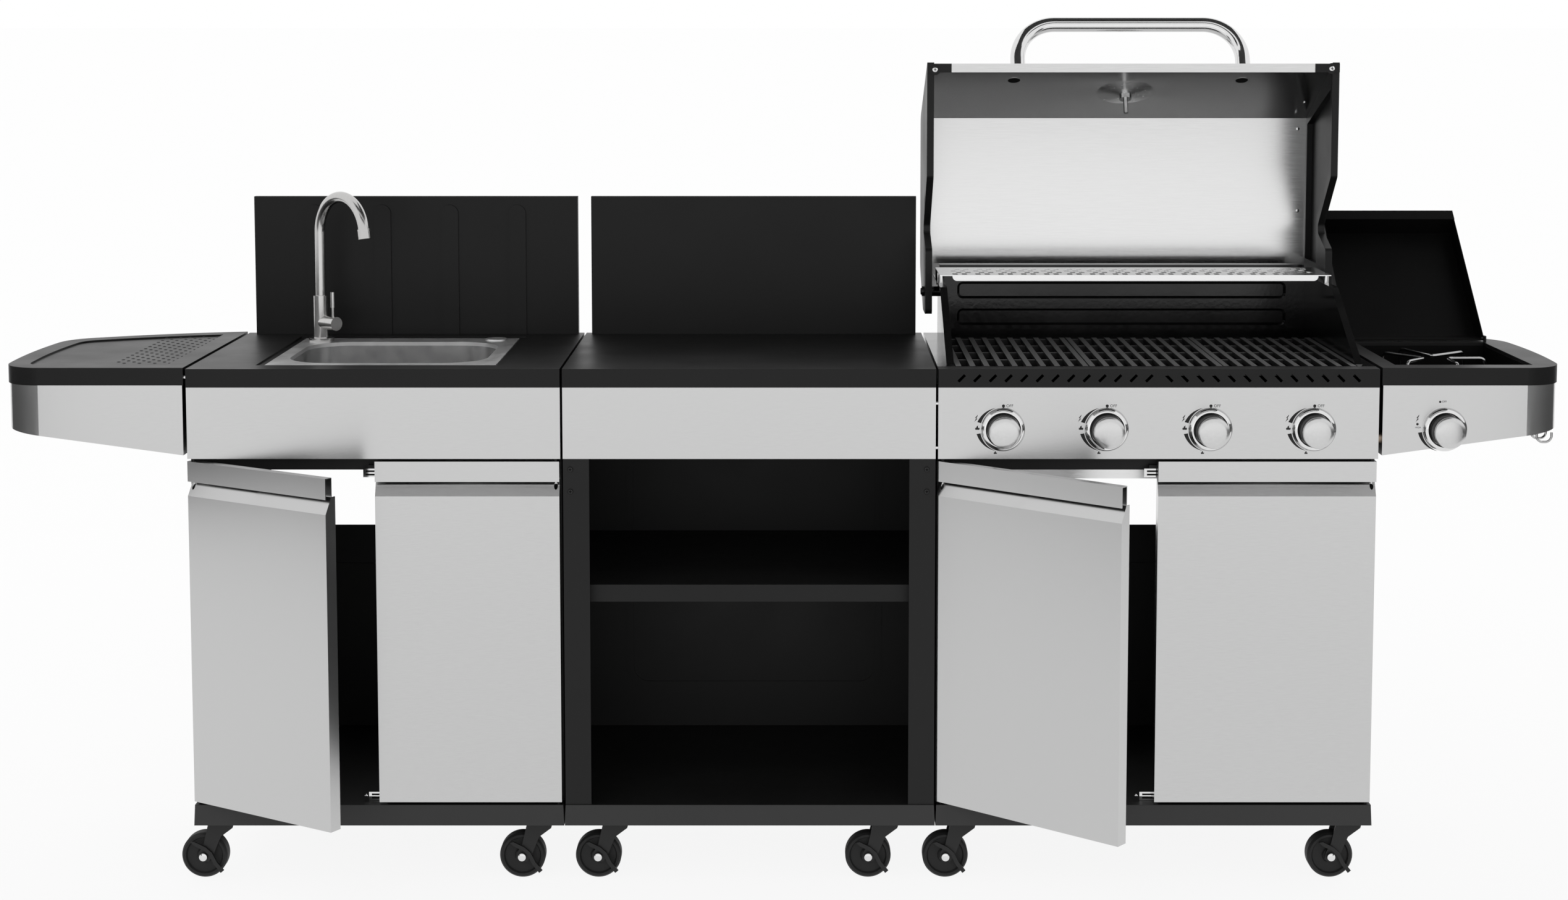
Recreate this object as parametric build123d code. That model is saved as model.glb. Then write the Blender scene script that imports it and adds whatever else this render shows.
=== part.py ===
"""Outdoor kitchen with a four-burner gas barbecue grill, a sink and a shelf cabinet, in millimetres.

X runs to the viewer's right, Y away from the viewer and Z up from the floor. Depths are counted from the
front face of the doors and fascia panels, and the finished pieces are moved back to centre the object.
"""
import math
import os

from build123d import *

# Row of modules, from left to right
TABLE_W = 300
SINK_W = 600
SHELF_W = 600
GRILL_W = 708
MODULE_GAP = 4
DEPTH = 470
OVERHANG = 2

# Heights above the floor
CASTER_H = 100
BASE_H = 34
WORK_H = 850
WORK_T = 30
FASCIA_H = 116
DOOR_GAP = 4.5

# Sheet metal
SHEET = 1.5
PLATE = 2
RUNNING = 0.05
SEAT = 0.2

# Cabinets
FASCIA_D = 24
POST_W = 42
POST_FRONT = 2
REAR_FLANGE = 35
BACK_SETBACK = 8
BASE_FLARE = 1.5
HALF_BACK_H = 369
RAIL_DROP = 22
RAIL_D = 20
REAR_RAIL_H = 30
LINK_R = 9
SHELF_H = 359
SHELF_T = 28

# Doors
DOOR_D = 22
DOOR_INSET = 2
DOOR_SPLIT = 1
GRIP_DEPTH = 13
GRIP_LIP = 33
GRIP_DROP = 56.5
GRIP_SLOPE = 26
PIVOT_IN = 6
PIVOT_BACK = 8
PIVOT_R = 3
SINK_DOOR_AJAR = 32
GRILL_DOOR_AJAR = 40
CATCH_W = 24
CATCH_H = 9

# Casters
WHEEL_R = 37.5
WHEEL_W = 26
HUB_R = 11
AXLE_R = 4
KINGPIN_R = 5
CASTER_PLATE = 58
CASTER_PLATE_T = 3
SINK_CASTERS_IN = (29, 47)
SHELF_CASTERS_IN = (74, 82)
GRILL_CASTERS_IN = (41, 33)
CASTER_BACK = 48
TRAIL = 24
FORK_T = 2.5
FORK_GAP = 1.5
CROWN_R = 22
CROWN_T = 5
AXLE_CAP_R = 6.2
PEDAL_T = 4

# Sink and tap
SINK_SIZE_X = 376
SINK_SIZE_Y = 346
SINK_LEFT = 115
SINK_FRONT = 56
SINK_RECESS = 12
RECESS_D = 3
BOWL_MARGIN = 22
BOWL_REAR = 50
BOWL_D = 150
BOWL_R = 75
BOWL_FOOT_R = 25
WASTE_R = 20
WASTE_FLANGE_R = 42
WASTE_L = 70
TAP_IN = 33
TAP_BODY_R = 13.5
TAP_BODY_H = 80
TAP_FLANGE_R = 22
TAP_FLANGE_T = 6
SPOUT_R = 9.5
SPOUT_RISE = 192
SPOUT_BEND_R = 63
SPOUT_BEND = 170
SPOUT_SOCKET = 25
SPOUT_YAW = -43
TAP_VALVE_H = 33
TAP_VALVE_R = 12
TAP_VALVE_STUB = 25
TAP_VALVE_L = 44
LEVER_R = 2.4
LEVER_GRIP_R = 3.8
LEVER_GRIP_L = 27
LEVER_L = 43
LEVER_AT = 34
SPINDLE_R = 4
SPINDLE_L = 8
NOZZLE_COLLAR_R = 11
NOZZLE_COLLAR_L = 17
DECK_CAP_R = 19
DECK_CAP_IN = 38
DECK_CAP_T = 3

# Backsplashes
SPLASH_H = 246
SPLASH_IN = 11
SINK_SPLASH_IN = (16, 9)
SPLASH_D = 16
RIB_COUNT = 4
RIB_W = 30
RIB_H = 231
RIB_PITCH = 120
RIB_PROUD = 3

# Side tables
TABLE_TOP_H = WORK_H + 2
TABLE_RIM_H = 28.5
TABLE_WALL = 2.5
TABLE_BULGE = 10
TABLE_END_Y = DEPTH - 112
TABLE_REAR_BULGE = 14
TABLE_FRONT_R = 62
TABLE_REAR_R = 80
TABLE_RIM = 34
TABLE_RECESS = 3
APRON_H = 114
APRON_RISE = 7.8
HOOK_R = 2
HOOK_COUNT = 3
HOOK_FRONT = 62
HOOK_PITCH = 38
HOOK_TOP = WORK_H - 82
HOOK_BOTTOM = WORK_H - 129
HOOK_TIP = 16
HOOK_OFF = 24
HOOK_MOUTH = 24
HOOK_BEND_R = 10

# Side burner
SIDE_LID_IN = 16
SIDE_LID_W = 238
SIDE_LID_FRONT = 26
SIDE_LID_D = 38
SIDE_LID_LIP = 20
SIDE_LID_HINGE_Y = DEPTH - 140
SIDE_LID_L = SIDE_LID_HINGE_Y - SIDE_LID_FRONT
SIDE_LID_HINGE_UP = 5
SIDE_LID_OPEN = 138
SIDE_LID_CLEAR = 1
SIDE_LID_PIN_R = 2.5
SIDE_EAR_T = 3
PAN_IN = 12
PAN_OUT = 3
PAN_FRONT = 34
PAN_REAR = SIDE_LID_HINGE_Y - 12
PAN_DROP = 66
PAN_FLANGE = 7
SIDE_RING_R = 36
SIDE_RING_T = 16
SIDE_THROAT_R = 11
SIDE_BURNER_U = 134
SIDE_BURNER_Y = 190
SIDE_KNOB_U = 102
TRIVET_WIRES = 3
TRIVET_R = 2.5
TRIVET_REACH = 90
TRIVET_SPREAD = 29
TRIVET_EYE_R = 17
TRIVET_H = 50
TRIVET_BEND_R = 8

# Control panel and knobs
KNOB_COUNT = 4
KNOB_PITCH = GRILL_W / 4.25
KNOB_UP = 48
KNOB_R = 29
KNOB_FACE_R = 26
KNOB_L = 35
KNOB_GAP = 0.8
BEZEL_R = 35
BEZEL_BORE = 10
BEZEL_T = 5
STEM_R = 4
STEM_HOLE_R = 5
STEM_REACH = 20

# Gas train
MANIFOLD_R = 9
VALVE_W = 22
VALVE_H = 26
VALVE_FRONT = 12
VALVE_REAR = 58
NOZZLE_R = 6
NOZZLE_L = 24
INLET_R = 4
INLET_L = 25
INLET_IN = 14
ELBOW_L = 36
PIPE_BITE = 3

# Firebox
BOX_SIDE_ROOM = 28
BOX_HALF_W = GRILL_W / 2 - BOX_SIDE_ROOM
SIDE_FLANGE = 12
SLOPE_Y0 = 53
SLOPE_Y1 = 243
SIDE_TOP = WORK_H + 106
BOX_BACK = DEPTH - 4
BACK_TOP = SIDE_TOP + 17
BACK_FLANGE = 22
LEDGE_FRONT = 22
LEDGE_D = 18
LEDGE_DROP = 12
REAR_LEDGE = BOX_BACK - 74
BOX_FLOOR_Y = 95
FLOOR_BELOW_BURNER = 34
CHUTE_DROP = 24
CHUTE_Y0 = 235
CHUTE_Y1 = 275
RAIL_TOP_D = 30
RAIL_SLOTS = 13
SLOT_MID = 16
SLOT_END = 12
SLOT_PITCH = (GRILL_W / 2 - SLOT_MID - SLOT_END) / RAIL_SLOTS
SLOT_W = 4.6
SLOT_L = 15
BACK_RIB_W = 2 * BOX_HALF_W - 64
BACK_RIB_H = 30
BACK_RIB_UP = 14
BACK_RIB_PITCH = 48
BACK_RIB_D = 5
BACK_RIB_DRAFT = 40
BURNER_R = 12.5
BURNER_FRONT = 72
TENT_W = 118
TENT_RISE = 34
TENT_OVER_BURNER = 30
GRATE_COUNT = 3
GRATE_FRONT = 34
GRATE_REAR = REAR_LEDGE + 8
GRATE_GAP = 2
GRATE_BARS = 10
GRATE_BAR_W = 9
GRATE_CROSS = 3
GRATE_CROSS_T = 5
TRAY_W = 2 * BOX_HALF_W - 52
TRAY_FRONT = 110
TRAY_L = 300
TRAY_D = 30
TRAY_GAP = 12
TRAY_FLANGE = 18
TRAY_RAIL_W = 50

# Warming rack
RACK_HALF_W = BOX_HALF_W + 10
RACK_D = 136
RACK_REAR = BOX_BACK - 42
RACK_FRONT = RACK_REAR - RACK_D
RACK_H = SIDE_TOP + 16
RACK_LIP = 10
RACK_LIP_IN = 22
RACK_LIP_R = 8
RACK_CLUSTERS = 16
RACK_ROWS = 4
RACK_ROW_PITCH = 28
RACK_ROW_IN = 20
RACK_SLOT_W = 9
RACK_SLOT_L = 19
RACK_SLOT_PITCH = 16
RACK_STAGGER = 8
PEG_R = 5
PEG_TIP_R = 3
PEG_TIP_L = 12
PEG_IN = 22

# Hood, in its closed place
HINGE_Y = BOX_BACK - 46
HINGE_Z = SIDE_TOP - 26
HINGE_R = 5
HINGE_HEAD_R = 9
HOOD_OPEN = 90
HOOD_HALF_W = GRILL_W / 2 + 2
CAP_T = 12
CAP_WALL = 2
CAP_RIM = 11
CAP_PROUD = 2
HOOD_LIP_Y = 17
HOOD_LIP_Z = WORK_H + 5
HOOD_LIP = 15
HOOD_TOP_Y0 = 118
HOOD_TOP_Y1 = HINGE_Y - 36
HOOD_TOP_Z = HOOD_LIP_Z + 214
HOOD_RETURN_Y = 40
HOOD_RETURN_Z = 44
HOOD_CORNER_R = 24
NOTCH_Y0 = HINGE_Y - 207
NOTCH_Y1 = HINGE_Y - 117
NOTCH_Y2 = HINGE_Y - 102
NOTCH_Y3 = HINGE_Y - 78
NOTCH_TOP = HOOD_LIP_Z + 97
FOOT_Z = HOOD_LIP_Z + 31
FOOT_REAR = HINGE_Y + 36
FOOT_SHOULDER_Z = HOOD_LIP_Z + 110
CAP_FILLET = 9
TAB_L = 30
HANDLE_R = 13
HANDLE_W = 392
HANDLE_OFF = 92
HANDLE_BEND_R = 66
HANDLE_UP = 38
GAUGE_R = 42
GAUGE_T = 18
GAUGE_STEM_R = 4
GAUGE_STEM_L = 42
GAUGE_NUT_R = 11
GAUGE_DISH_R = 50
GAUGE_DISH_T = 6

# Half the depth of the whole object, from the open hood and lids at the back to the ajar door at the front
MID_DEPTH = 172.46

# Places that follow from the sizes above
ROW_W = 2 * TABLE_W + SINK_W + SHELF_W + GRILL_W + 4 * MODULE_GAP
SINK_X = -ROW_W / 2 + TABLE_W + MODULE_GAP
SHELF_X = SINK_X + SINK_W + MODULE_GAP
GRILL_X = SHELF_X + SHELF_W + MODULE_GAP
RIGHT_X = GRILL_X + GRILL_W + MODULE_GAP
GRILL_MID = GRILL_X + GRILL_W / 2
BASE_TOP = CASTER_H + BASE_H
FASCIA_TOP = WORK_H - WORK_T
FASCIA_BOTTOM = FASCIA_TOP - FASCIA_H
DOOR_TOP = FASCIA_BOTTOM - DOOR_GAP
DOOR_BOTTOM = BASE_TOP + DOOR_GAP
CAB_BACK = DEPTH - BACK_SETBACK
KNOB_Z = FASCIA_BOTTOM + KNOB_UP
BOX_FLOOR_H = KNOB_Z - FLOOR_BELOW_BURNER
CHUTE_H = BOX_FLOOR_H - CHUTE_DROP
TRAY_H = CHUTE_H - TRAY_GAP
TENT_H = KNOB_Z + TENT_OVER_BURNER
APRON_TOP = TABLE_TOP_H - TABLE_RIM_H
SIDE_HINGE_Z = TABLE_TOP_H + SIDE_LID_HINGE_UP
KNOB_XS = [GRILL_MID + (i - (KNOB_COUNT - 1) / 2) * KNOB_PITCH for i in range(KNOB_COUNT)]
SIDE_KNOB_X = RIGHT_X + SIDE_KNOB_U
TAP_X = SINK_X + SINK_LEFT + TAP_IN
TAP_Y = SINK_FRONT + SINK_SIZE_Y - TAP_IN
SINK_RIM_Z = WORK_H - RECESS_D
MANIFOLD_Z = KNOB_Z - VALVE_H / 2 - MANIFOLD_R + PIPE_BITE
LEDGE_Z = WORK_H - LEDGE_DROP

NODES = {}


def node(name, *shapes):
    """Keep every solid of the shapes as one named piece."""
    NODES[name] = Compound([solid for shape in shapes for solid in shape.solids()])


def block(x0, x1, y0, y1, z0, z1):
    """Box between two corners."""
    return Pos((x0 + x1) / 2, (y0 + y1) / 2, (z0 + z1) / 2) * Box(x1 - x0, y1 - y0, z1 - z0)


def rod(start, end, radius):
    """Round bar from one point to another."""
    axis = Vector(*end) - Vector(*start)
    return extrude(Plane(origin=start, z_dir=axis) * Circle(radius), axis.length)


def strip(points, thickness):
    """Outline of a sheet folded along a line of points, with its thickness to the left of the line."""
    count = len(points)
    normals = []
    for (ax, ay), (bx, by) in zip(points, points[1:]):
        length = math.hypot(bx - ax, by - ay)
        normals.append(((ay - by) / length, (bx - ax) / length))
    inner = []
    for i, (px, py) in enumerate(points):
        before = normals[max(i - 1, 0)]
        after = normals[min(i, count - 2)]
        share = thickness / (1 + before[0] * after[0] + before[1] * after[1])
        inner.append((px + (before[0] + after[0]) * share, py + (before[1] + after[1]) * share))
    return points + inner[::-1]


def polygon(points):
    """Flat face inside a closed line of points."""
    return make_face(Polyline(*points, close=True))


def along_x(points, x0, x1):
    """Solid with an outline of (y, z) points, running from x0 to x1."""
    return extrude(Plane.YZ.offset(x0) * polygon(points), x1 - x0)


def folded_x(points, x0, x1, thickness):
    """Sheet folded along (y, z) points, running from x0 to x1."""
    return along_x(strip(points, thickness), x0, x1)


def bent_bar(points, section, bend):
    """Bar of any section along straight runs joined by arcs."""
    path = FilletPolyline(*points, radius=bend)
    start = Plane(origin=path @ 0, z_dir=path % 0)
    return sweep(start * section, path=path)


def bent_tube(points, radius, bend):
    """Round tube along straight runs joined by arcs."""
    return bent_bar(points, Circle(radius), bend)


def bent_wire(points, radius, bend):
    """Thin wire along straight runs joined by arcs, with eight flats."""
    return bent_bar(points, RegularPolygon(radius, 8), bend)


def front_pan(x0, x1, y0, depth, z0, z1):
    """Sheet panel that faces the viewer, with returns on all four edges and an open back."""
    outer = block(x0, x1, y0, y0 + depth, z0, z1)
    return outer - block(x0 + SHEET, x1 - SHEET, y0 + SHEET, y0 + depth, z0 + SHEET, z1 - SHEET)


# Casters


def wheel(profile_detail):
    """Wheel about the Y axis; the shown ones have a dished face."""
    half = WHEEL_W / 2
    rim = WHEEL_R - 7
    bore = AXLE_R + RUNNING
    right = [(bore, half), (WHEEL_R - 2, half), (WHEEL_R, half - 3)]
    if profile_detail:
        dish = half - 4
        right = [(bore, half), (HUB_R, half), (HUB_R + 2, dish), (rim - 2, dish), (rim, half)]
        right += [(WHEEL_R - 3, half), (WHEEL_R, half - 4)]
    left = [(r, -w) for r, w in reversed(right)]
    face = Plane.XY * polygon(right + left)
    return revolve(face, Axis.Y)


def fork_leg():
    """Outline of a caster leg in (x, z), with the axle at the origin and the crown above."""
    crown_z = CASTER_H - CASTER_PLATE_T - CROWN_T - WHEEL_R
    return [(8, crown_z), (TRAIL + 26, crown_z), (TRAIL + 24, crown_z - 7), (TRAIL + 4, crown_z - 22),
            (15, 0), (8, -9), (-4, -10), (-10, -4), (-8, 6), (0, 20)]


def fork_legs():
    """Both legs and the bridge of a caster fork, about an axle at the origin."""
    inner = WHEEL_W / 2 + FORK_GAP
    outer = inner + FORK_T
    crown_z = CASTER_H - CASTER_PLATE_T - CROWN_T - WHEEL_R
    near = extrude(Plane.XZ.offset(inner) * polygon(fork_leg()), FORK_T)
    far = extrude(Plane.XZ.offset(-outer) * polygon(fork_leg()), FORK_T)
    bridge = block(8, TRAIL + 26, -outer, outer, crown_z - FORK_T, crown_z)
    axle = rod((0, -outer - PEDAL_T, 0), (0, outer + PEDAL_T, 0), AXLE_R)
    return near + far + bridge + axle


def brake_pedal():
    """Brake lever across the wheel's face, about an axle at the origin."""
    outline = [(-20, 24), (-14, 18), (2, 10), (9, 3), (17, -13), (28, -27), (33, -23), (22, -9),
               (14, 7), (4, 16), (-14, 25)]
    front = WHEEL_W / 2 + FORK_GAP + FORK_T
    return extrude(Plane.XZ.offset(front) * polygon(outline), PEDAL_T)


def axle_cap():
    """Bright cap on the viewer's end of an axle at the origin."""
    end = -(WHEEL_W / 2 + FORK_GAP + FORK_T + PEDAL_T)
    return rod((0, end, 0), (0, end - PLATE, 0), AXLE_CAP_R)


def swivel_fork(swivel_x):
    """Turning part of a front caster, with its wheel trailing to the left."""
    at = Pos(swivel_x - TRAIL, CASTER_BACK, WHEEL_R)
    crown_z = CASTER_H - CASTER_PLATE_T - SEAT
    crown = rod((swivel_x, CASTER_BACK, crown_z), (swivel_x, CASTER_BACK, crown_z - CROWN_T), CROWN_R)
    hole = rod((swivel_x, CASTER_BACK, crown_z), (swivel_x, CASTER_BACK, WHEEL_R), KINGPIN_R + RUNNING)
    return (crown + at * fork_legs()) - hole + at * axle_cap()


def caster_plate(swivel_x):
    """Fixed top plate of a front caster with its kingpin."""
    half = CASTER_PLATE / 2
    low = CASTER_H - CASTER_PLATE_T
    plate = block(swivel_x - half, swivel_x + half, CASTER_BACK - half, CASTER_BACK + half, low, CASTER_H)
    pin = rod((swivel_x, CASTER_BACK, low), (swivel_x, CASTER_BACK, low - 2 * CROWN_T), KINGPIN_R)
    return plate + pin


def rigid_caster(x):
    """Fixed rear caster bracket, whose wheel rolls along Y."""
    half = CASTER_PLATE / 2
    y = DEPTH - CASTER_BACK
    low = CASTER_H - CASTER_PLATE_T
    plate = block(x - half, x + half, y - half, y + half, low, CASTER_H)
    legs = Pos(x, y - TRAIL, WHEEL_R) * Rot(0, 0, 90) * fork_legs()
    boss = rod((x, y, low), (x, y, low - CROWN_T), CROWN_R)
    return plate + boss + legs


# Cabinets


def side_panel(web_x, inward, front_y, z0, z1):
    """Cabinet side folded from sheet: a web with a wide front flange and a rear flange."""
    line = [(web_x + inward * POST_W, front_y), (web_x, front_y), (web_x, CAB_BACK),
            (web_x + inward * REAR_FLANGE, CAB_BACK)]
    face = Plane.XY.offset(z0) * polygon(strip(line, -inward * SHEET))
    return extrude(face, z1 - z0, dir=(0, 0, 1))


def base_tray(x0, width):
    """Base with a flat floor and flared skirts, open underneath inside its caster rails."""
    y_mid = CAB_BACK / 2
    top = Pos(x0 + width / 2, y_mid, BASE_TOP) * Rectangle(width, CAB_BACK)
    low_size = (width + 2 * BASE_FLARE, CAB_BACK + 2 * BASE_FLARE)
    low = Pos(x0 + width / 2, y_mid, CASTER_H) * Rectangle(*low_size)
    skirt = 2 * BASE_FLARE
    rails = CASTER_BACK + CASTER_PLATE / 2
    hollow = block(x0 + skirt, x0 + width - skirt, skirt, CAB_BACK - skirt, CASTER_H + PLATE, BASE_TOP - PLATE)
    mouth = block(x0 + skirt, x0 + width - skirt, rails, CAB_BACK - rails, CASTER_H, CASTER_H + PLATE)
    return loft([low, top]) - hollow - mouth


def front_rail(x0, width, drop):
    """Folded rail under the fascia, between the cabinet sides."""
    y0 = FASCIA_D + SHEET
    rail = block(x0 + SHEET, x0 + width - SHEET, y0, y0 + RAIL_D, FASCIA_BOTTOM - drop, FASCIA_BOTTOM)
    if drop > SHEET:
        rail -= block(x0 + SHEET, x0 + width - SHEET, y0 + SHEET, y0 + RAIL_D,
                      FASCIA_BOTTOM - drop, FASCIA_BOTTOM - SHEET)
    return rail


def rear_rail(x0, width):
    """Folded rail at the top of the cabinet's back."""
    y1 = CAB_BACK - SHEET
    line = [(y1, FASCIA_TOP - REAR_RAIL_H), (y1, FASCIA_TOP), (y1 - RAIL_D, FASCIA_TOP)]
    return folded_x(line, x0 + SHEET, x0 + width - SHEET, SHEET)


def back_panel(x0, width, height):
    """Back sheet with a raised bead in the form of a rounded rectangle."""
    y1 = CAB_BACK - SHEET
    sheet = block(x0 + SHEET, x0 + width - SHEET, y1 - SHEET, y1, BASE_TOP, BASE_TOP + height)
    margin = 70
    bead_w = 12
    bead_r = 40
    size = (width - 2 * margin, height - 2 * margin)
    bead = RectangleRounded(*size, bead_r)
    bead -= RectangleRounded(size[0] - 2 * bead_w, size[1] - 2 * bead_w, bead_r - bead_w)
    centre = Plane(origin=(x0 + width / 2, y1 - SHEET, BASE_TOP + height / 2), x_dir=(1, 0, 0), z_dir=(0, -1, 0))
    return sheet + extrude(centre * bead, PLATE)


def module_links(x, count_y=2):
    """Spacers through which neighbouring cabinets are bolted together."""
    heights = (BASE_TOP + 100, FASCIA_BOTTOM - 60)
    depths = [CAB_BACK * (i + 1) / (count_y + 1) for i in range(count_y)]
    return [rod((x, y, z), (x + MODULE_GAP, y, z), LINK_R) for z in heights for y in depths]


def door_pins(x):
    """Pivot pins above and below a door."""
    reach = DOOR_GAP + 6
    upper = rod((x, PIVOT_BACK, FASCIA_BOTTOM), (x, PIVOT_BACK, FASCIA_BOTTOM - reach), PIVOT_R)
    lower = rod((x, PIVOT_BACK, BASE_TOP), (x, PIVOT_BACK, BASE_TOP + reach), PIVOT_R)
    return [upper, lower]


def door_catches(x):
    """Magnet catches behind the top and bottom corners at which two closed doors meet."""
    half = CATCH_W / 2
    y1 = FASCIA_D + SHEET
    top_z = FASCIA_BOTTOM - RAIL_DROP
    upper = block(x - half, x + half, GRIP_DEPTH + SHEET + 1, y1, top_z, top_z + CATCH_H)
    lower = block(x - half, x + half, DOOR_D + 1, y1, BASE_TOP, BASE_TOP + CATCH_H)
    return [upper, lower]


def caster_places(x0, width, insets):
    """Places across a cabinet of its left and right casters."""
    return x0 + insets[0], x0 + width - insets[1]


def cabinet(x0, width, casters_in, back_height, open_front):
    """Solids of one cabinet without its doors, worktop and fascia."""
    lower_front = POST_FRONT if open_front else FASCIA_D
    solids = [base_tray(x0, width), back_panel(x0, width, back_height)]
    for web_x, inward in ((x0, 1), (x0 + width, -1)):
        lower = side_panel(web_x, inward, lower_front, BASE_TOP, FASCIA_BOTTOM)
        solids.append(lower + side_panel(web_x, inward, FASCIA_D, FASCIA_BOTTOM, FASCIA_TOP))
    solids += [front_rail(x0, width, SHEET if open_front else RAIL_DROP), rear_rail(x0, width)]
    for x in caster_places(x0, width, casters_in):
        solids += [caster_plate(x), rigid_caster(x)]
    return solids


def door_edges(x0, width):
    """Outer edges of the left and right door of a cabinet."""
    return x0 + DOOR_INSET, x0 + width - DOOR_INSET


def door_width(width):
    """Width of one of two doors that share a cabinet's front."""
    return width / 2 - DOOR_INSET - DOOR_SPLIT


def door(hinge_x, inward, width, ajar):
    """Door folded from sheet, with an undercut grip along its top, turned about its pivot."""
    slope_z = DOOR_TOP - GRIP_DROP
    line = [(DOOR_D, DOOR_BOTTOM), (0, DOOR_BOTTOM), (0, slope_z), (GRIP_DEPTH, slope_z + GRIP_SLOPE),
            (GRIP_DEPTH, DOOR_TOP), (0, DOOR_TOP), (0, DOOR_TOP - GRIP_LIP)]
    x_far = hinge_x + inward * width
    x0, x1 = min(hinge_x, x_far), max(hinge_x, x_far)
    side = [(0, DOOR_BOTTOM), (DOOR_D, DOOR_BOTTOM), (DOOR_D, slope_z + GRIP_SLOPE),
            (GRIP_DEPTH, slope_z + GRIP_SLOPE), (0, slope_z)]
    body = along_x(strip(line[:5], -SHEET), x0, x1)
    body += along_x(strip(line[4:], SHEET), x0, x1)
    body += along_x(side, x0, x0 + SHEET) + along_x(side, x1 - SHEET, x1)
    pivot_x = hinge_x + inward * PIVOT_IN
    body -= rod((pivot_x, PIVOT_BACK, BASE_TOP), (pivot_x, PIVOT_BACK, FASCIA_BOTTOM), PIVOT_R + RUNNING)
    pivot = Axis((pivot_x, PIVOT_BACK, 0), (0, 0, 1))
    return body.rotate(pivot, -inward * ajar)


# Worktops, sink and tap


def worktop(x0, width):
    """Worktop folded from sheet, with skirts on all sides."""
    outer = block(x0, x0 + width, -OVERHANG, DEPTH, FASCIA_TOP, WORK_H)
    return outer - block(x0 + PLATE, x0 + width - PLATE, -OVERHANG + PLATE, DEPTH - PLATE,
                         FASCIA_TOP, WORK_H - PLATE)


def sink_worktop():
    """Worktop with a shallow recess and a cut-out for the sink."""
    x0, x1 = SINK_X + SINK_LEFT, SINK_X + SINK_LEFT + SINK_SIZE_X
    y0, y1 = SINK_FRONT, SINK_FRONT + SINK_SIZE_Y
    grow = SINK_RECESS
    tub = block(x0 - grow - PLATE, x1 + grow + PLATE, y0 - grow - PLATE, y1 + grow + PLATE,
                SINK_RIM_Z - PLATE, WORK_H)
    recess = block(x0 - grow, x1 + grow, y0 - grow, y1 + grow, SINK_RIM_Z, WORK_H)
    seat = 6
    cut = block(x0 + seat, x1 - seat, y0 + seat, y1 - seat, SINK_RIM_Z - PLATE, WORK_H)
    return worktop(SINK_X, SINK_W) + tub - recess - cut


def bowl_body(inset, drop):
    """Rounded tub of the sink, as a solid."""
    size_x = SINK_SIZE_X - 2 * BOWL_MARGIN - 2 * inset
    size_y = SINK_SIZE_Y - BOWL_MARGIN - BOWL_REAR - 2 * inset
    x = SINK_X + SINK_LEFT + SINK_SIZE_X / 2
    y = SINK_FRONT + BOWL_MARGIN + (SINK_SIZE_Y - BOWL_MARGIN - BOWL_REAR) / 2
    top = SINK_RIM_Z + SHEET
    face = Pos(x, y, top) * RectangleRounded(size_x, size_y, BOWL_R - inset)
    solid = extrude(face, BOWL_D - drop, dir=(0, 0, -1))
    return fillet(solid.faces().sort_by(Axis.Z)[0].edges(), BOWL_FOOT_R - inset)


def sink_bowl():
    """Pressed sink: a flat rim around a rounded bowl, with its waste fitting below."""
    x0 = SINK_X + SINK_LEFT
    rim = block(x0, x0 + SINK_SIZE_X, SINK_FRONT, SINK_FRONT + SINK_SIZE_Y, SINK_RIM_Z, SINK_RIM_Z + SHEET)
    x = x0 + SINK_SIZE_X / 2
    y = SINK_FRONT + BOWL_MARGIN + (SINK_SIZE_Y - BOWL_MARGIN - BOWL_REAR) / 2
    floor = SINK_RIM_Z + SHEET - BOWL_D
    hole = rod((x, y, floor - SHEET), (x, y, floor + 2 * SHEET), WASTE_R)
    shell = (rim + bowl_body(0, 0)) - bowl_body(SHEET, SHEET) - hole
    tail = rod((x, y, floor), (x, y, floor - WASTE_L), WASTE_R)
    collar = rod((x, y, floor), (x, y, floor - 8), WASTE_FLANGE_R)
    bore = rod((x, y, floor), (x, y, floor - WASTE_L), WASTE_R - SHEET)
    cap_x, cap_y = x0 + SINK_SIZE_X - DECK_CAP_IN, SINK_FRONT + SINK_SIZE_Y - BOWL_REAR / 2
    deck = SINK_RIM_Z + SHEET
    cap = rod((cap_x, cap_y, deck), (cap_x, cap_y, deck + DECK_CAP_T), DECK_CAP_R)
    cap = fillet(cap.edges().filter_by(GeomType.CIRCLE).sort_by(Axis.Z)[-1], DECK_CAP_T / 2)
    return [shell, tail + collar - bore, cap]


def tap_direction(reach, height):
    """Point at a reach from the tap's axis along its spout's direction."""
    yaw = math.radians(SPOUT_YAW)
    return (TAP_X + reach * math.cos(yaw), TAP_Y + reach * math.sin(yaw), SINK_RIM_Z + SHEET + height)


def tap_body():
    """Upright tap body with a round foot, a socket for the spout and a side stub."""
    foot = tap_direction(0, 0)
    top = tap_direction(0, TAP_BODY_H)
    body = rod(foot, tap_direction(0, TAP_FLANGE_T), TAP_FLANGE_R) + rod(foot, top, TAP_BODY_R)
    body += rod(tap_direction(0, TAP_VALVE_H), tap_direction(TAP_VALVE_STUB, TAP_VALVE_H), TAP_VALVE_R)
    socket = rod(tap_direction(0, TAP_BODY_H - SPOUT_SOCKET), top, SPOUT_R + RUNNING)
    spindle_start = tap_direction(TAP_VALVE_STUB - SPINDLE_L - 1, TAP_VALVE_H)
    spindle = rod(spindle_start, tap_direction(TAP_VALVE_STUB, TAP_VALVE_H), SPINDLE_R + RUNNING)
    return body - socket - spindle


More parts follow.
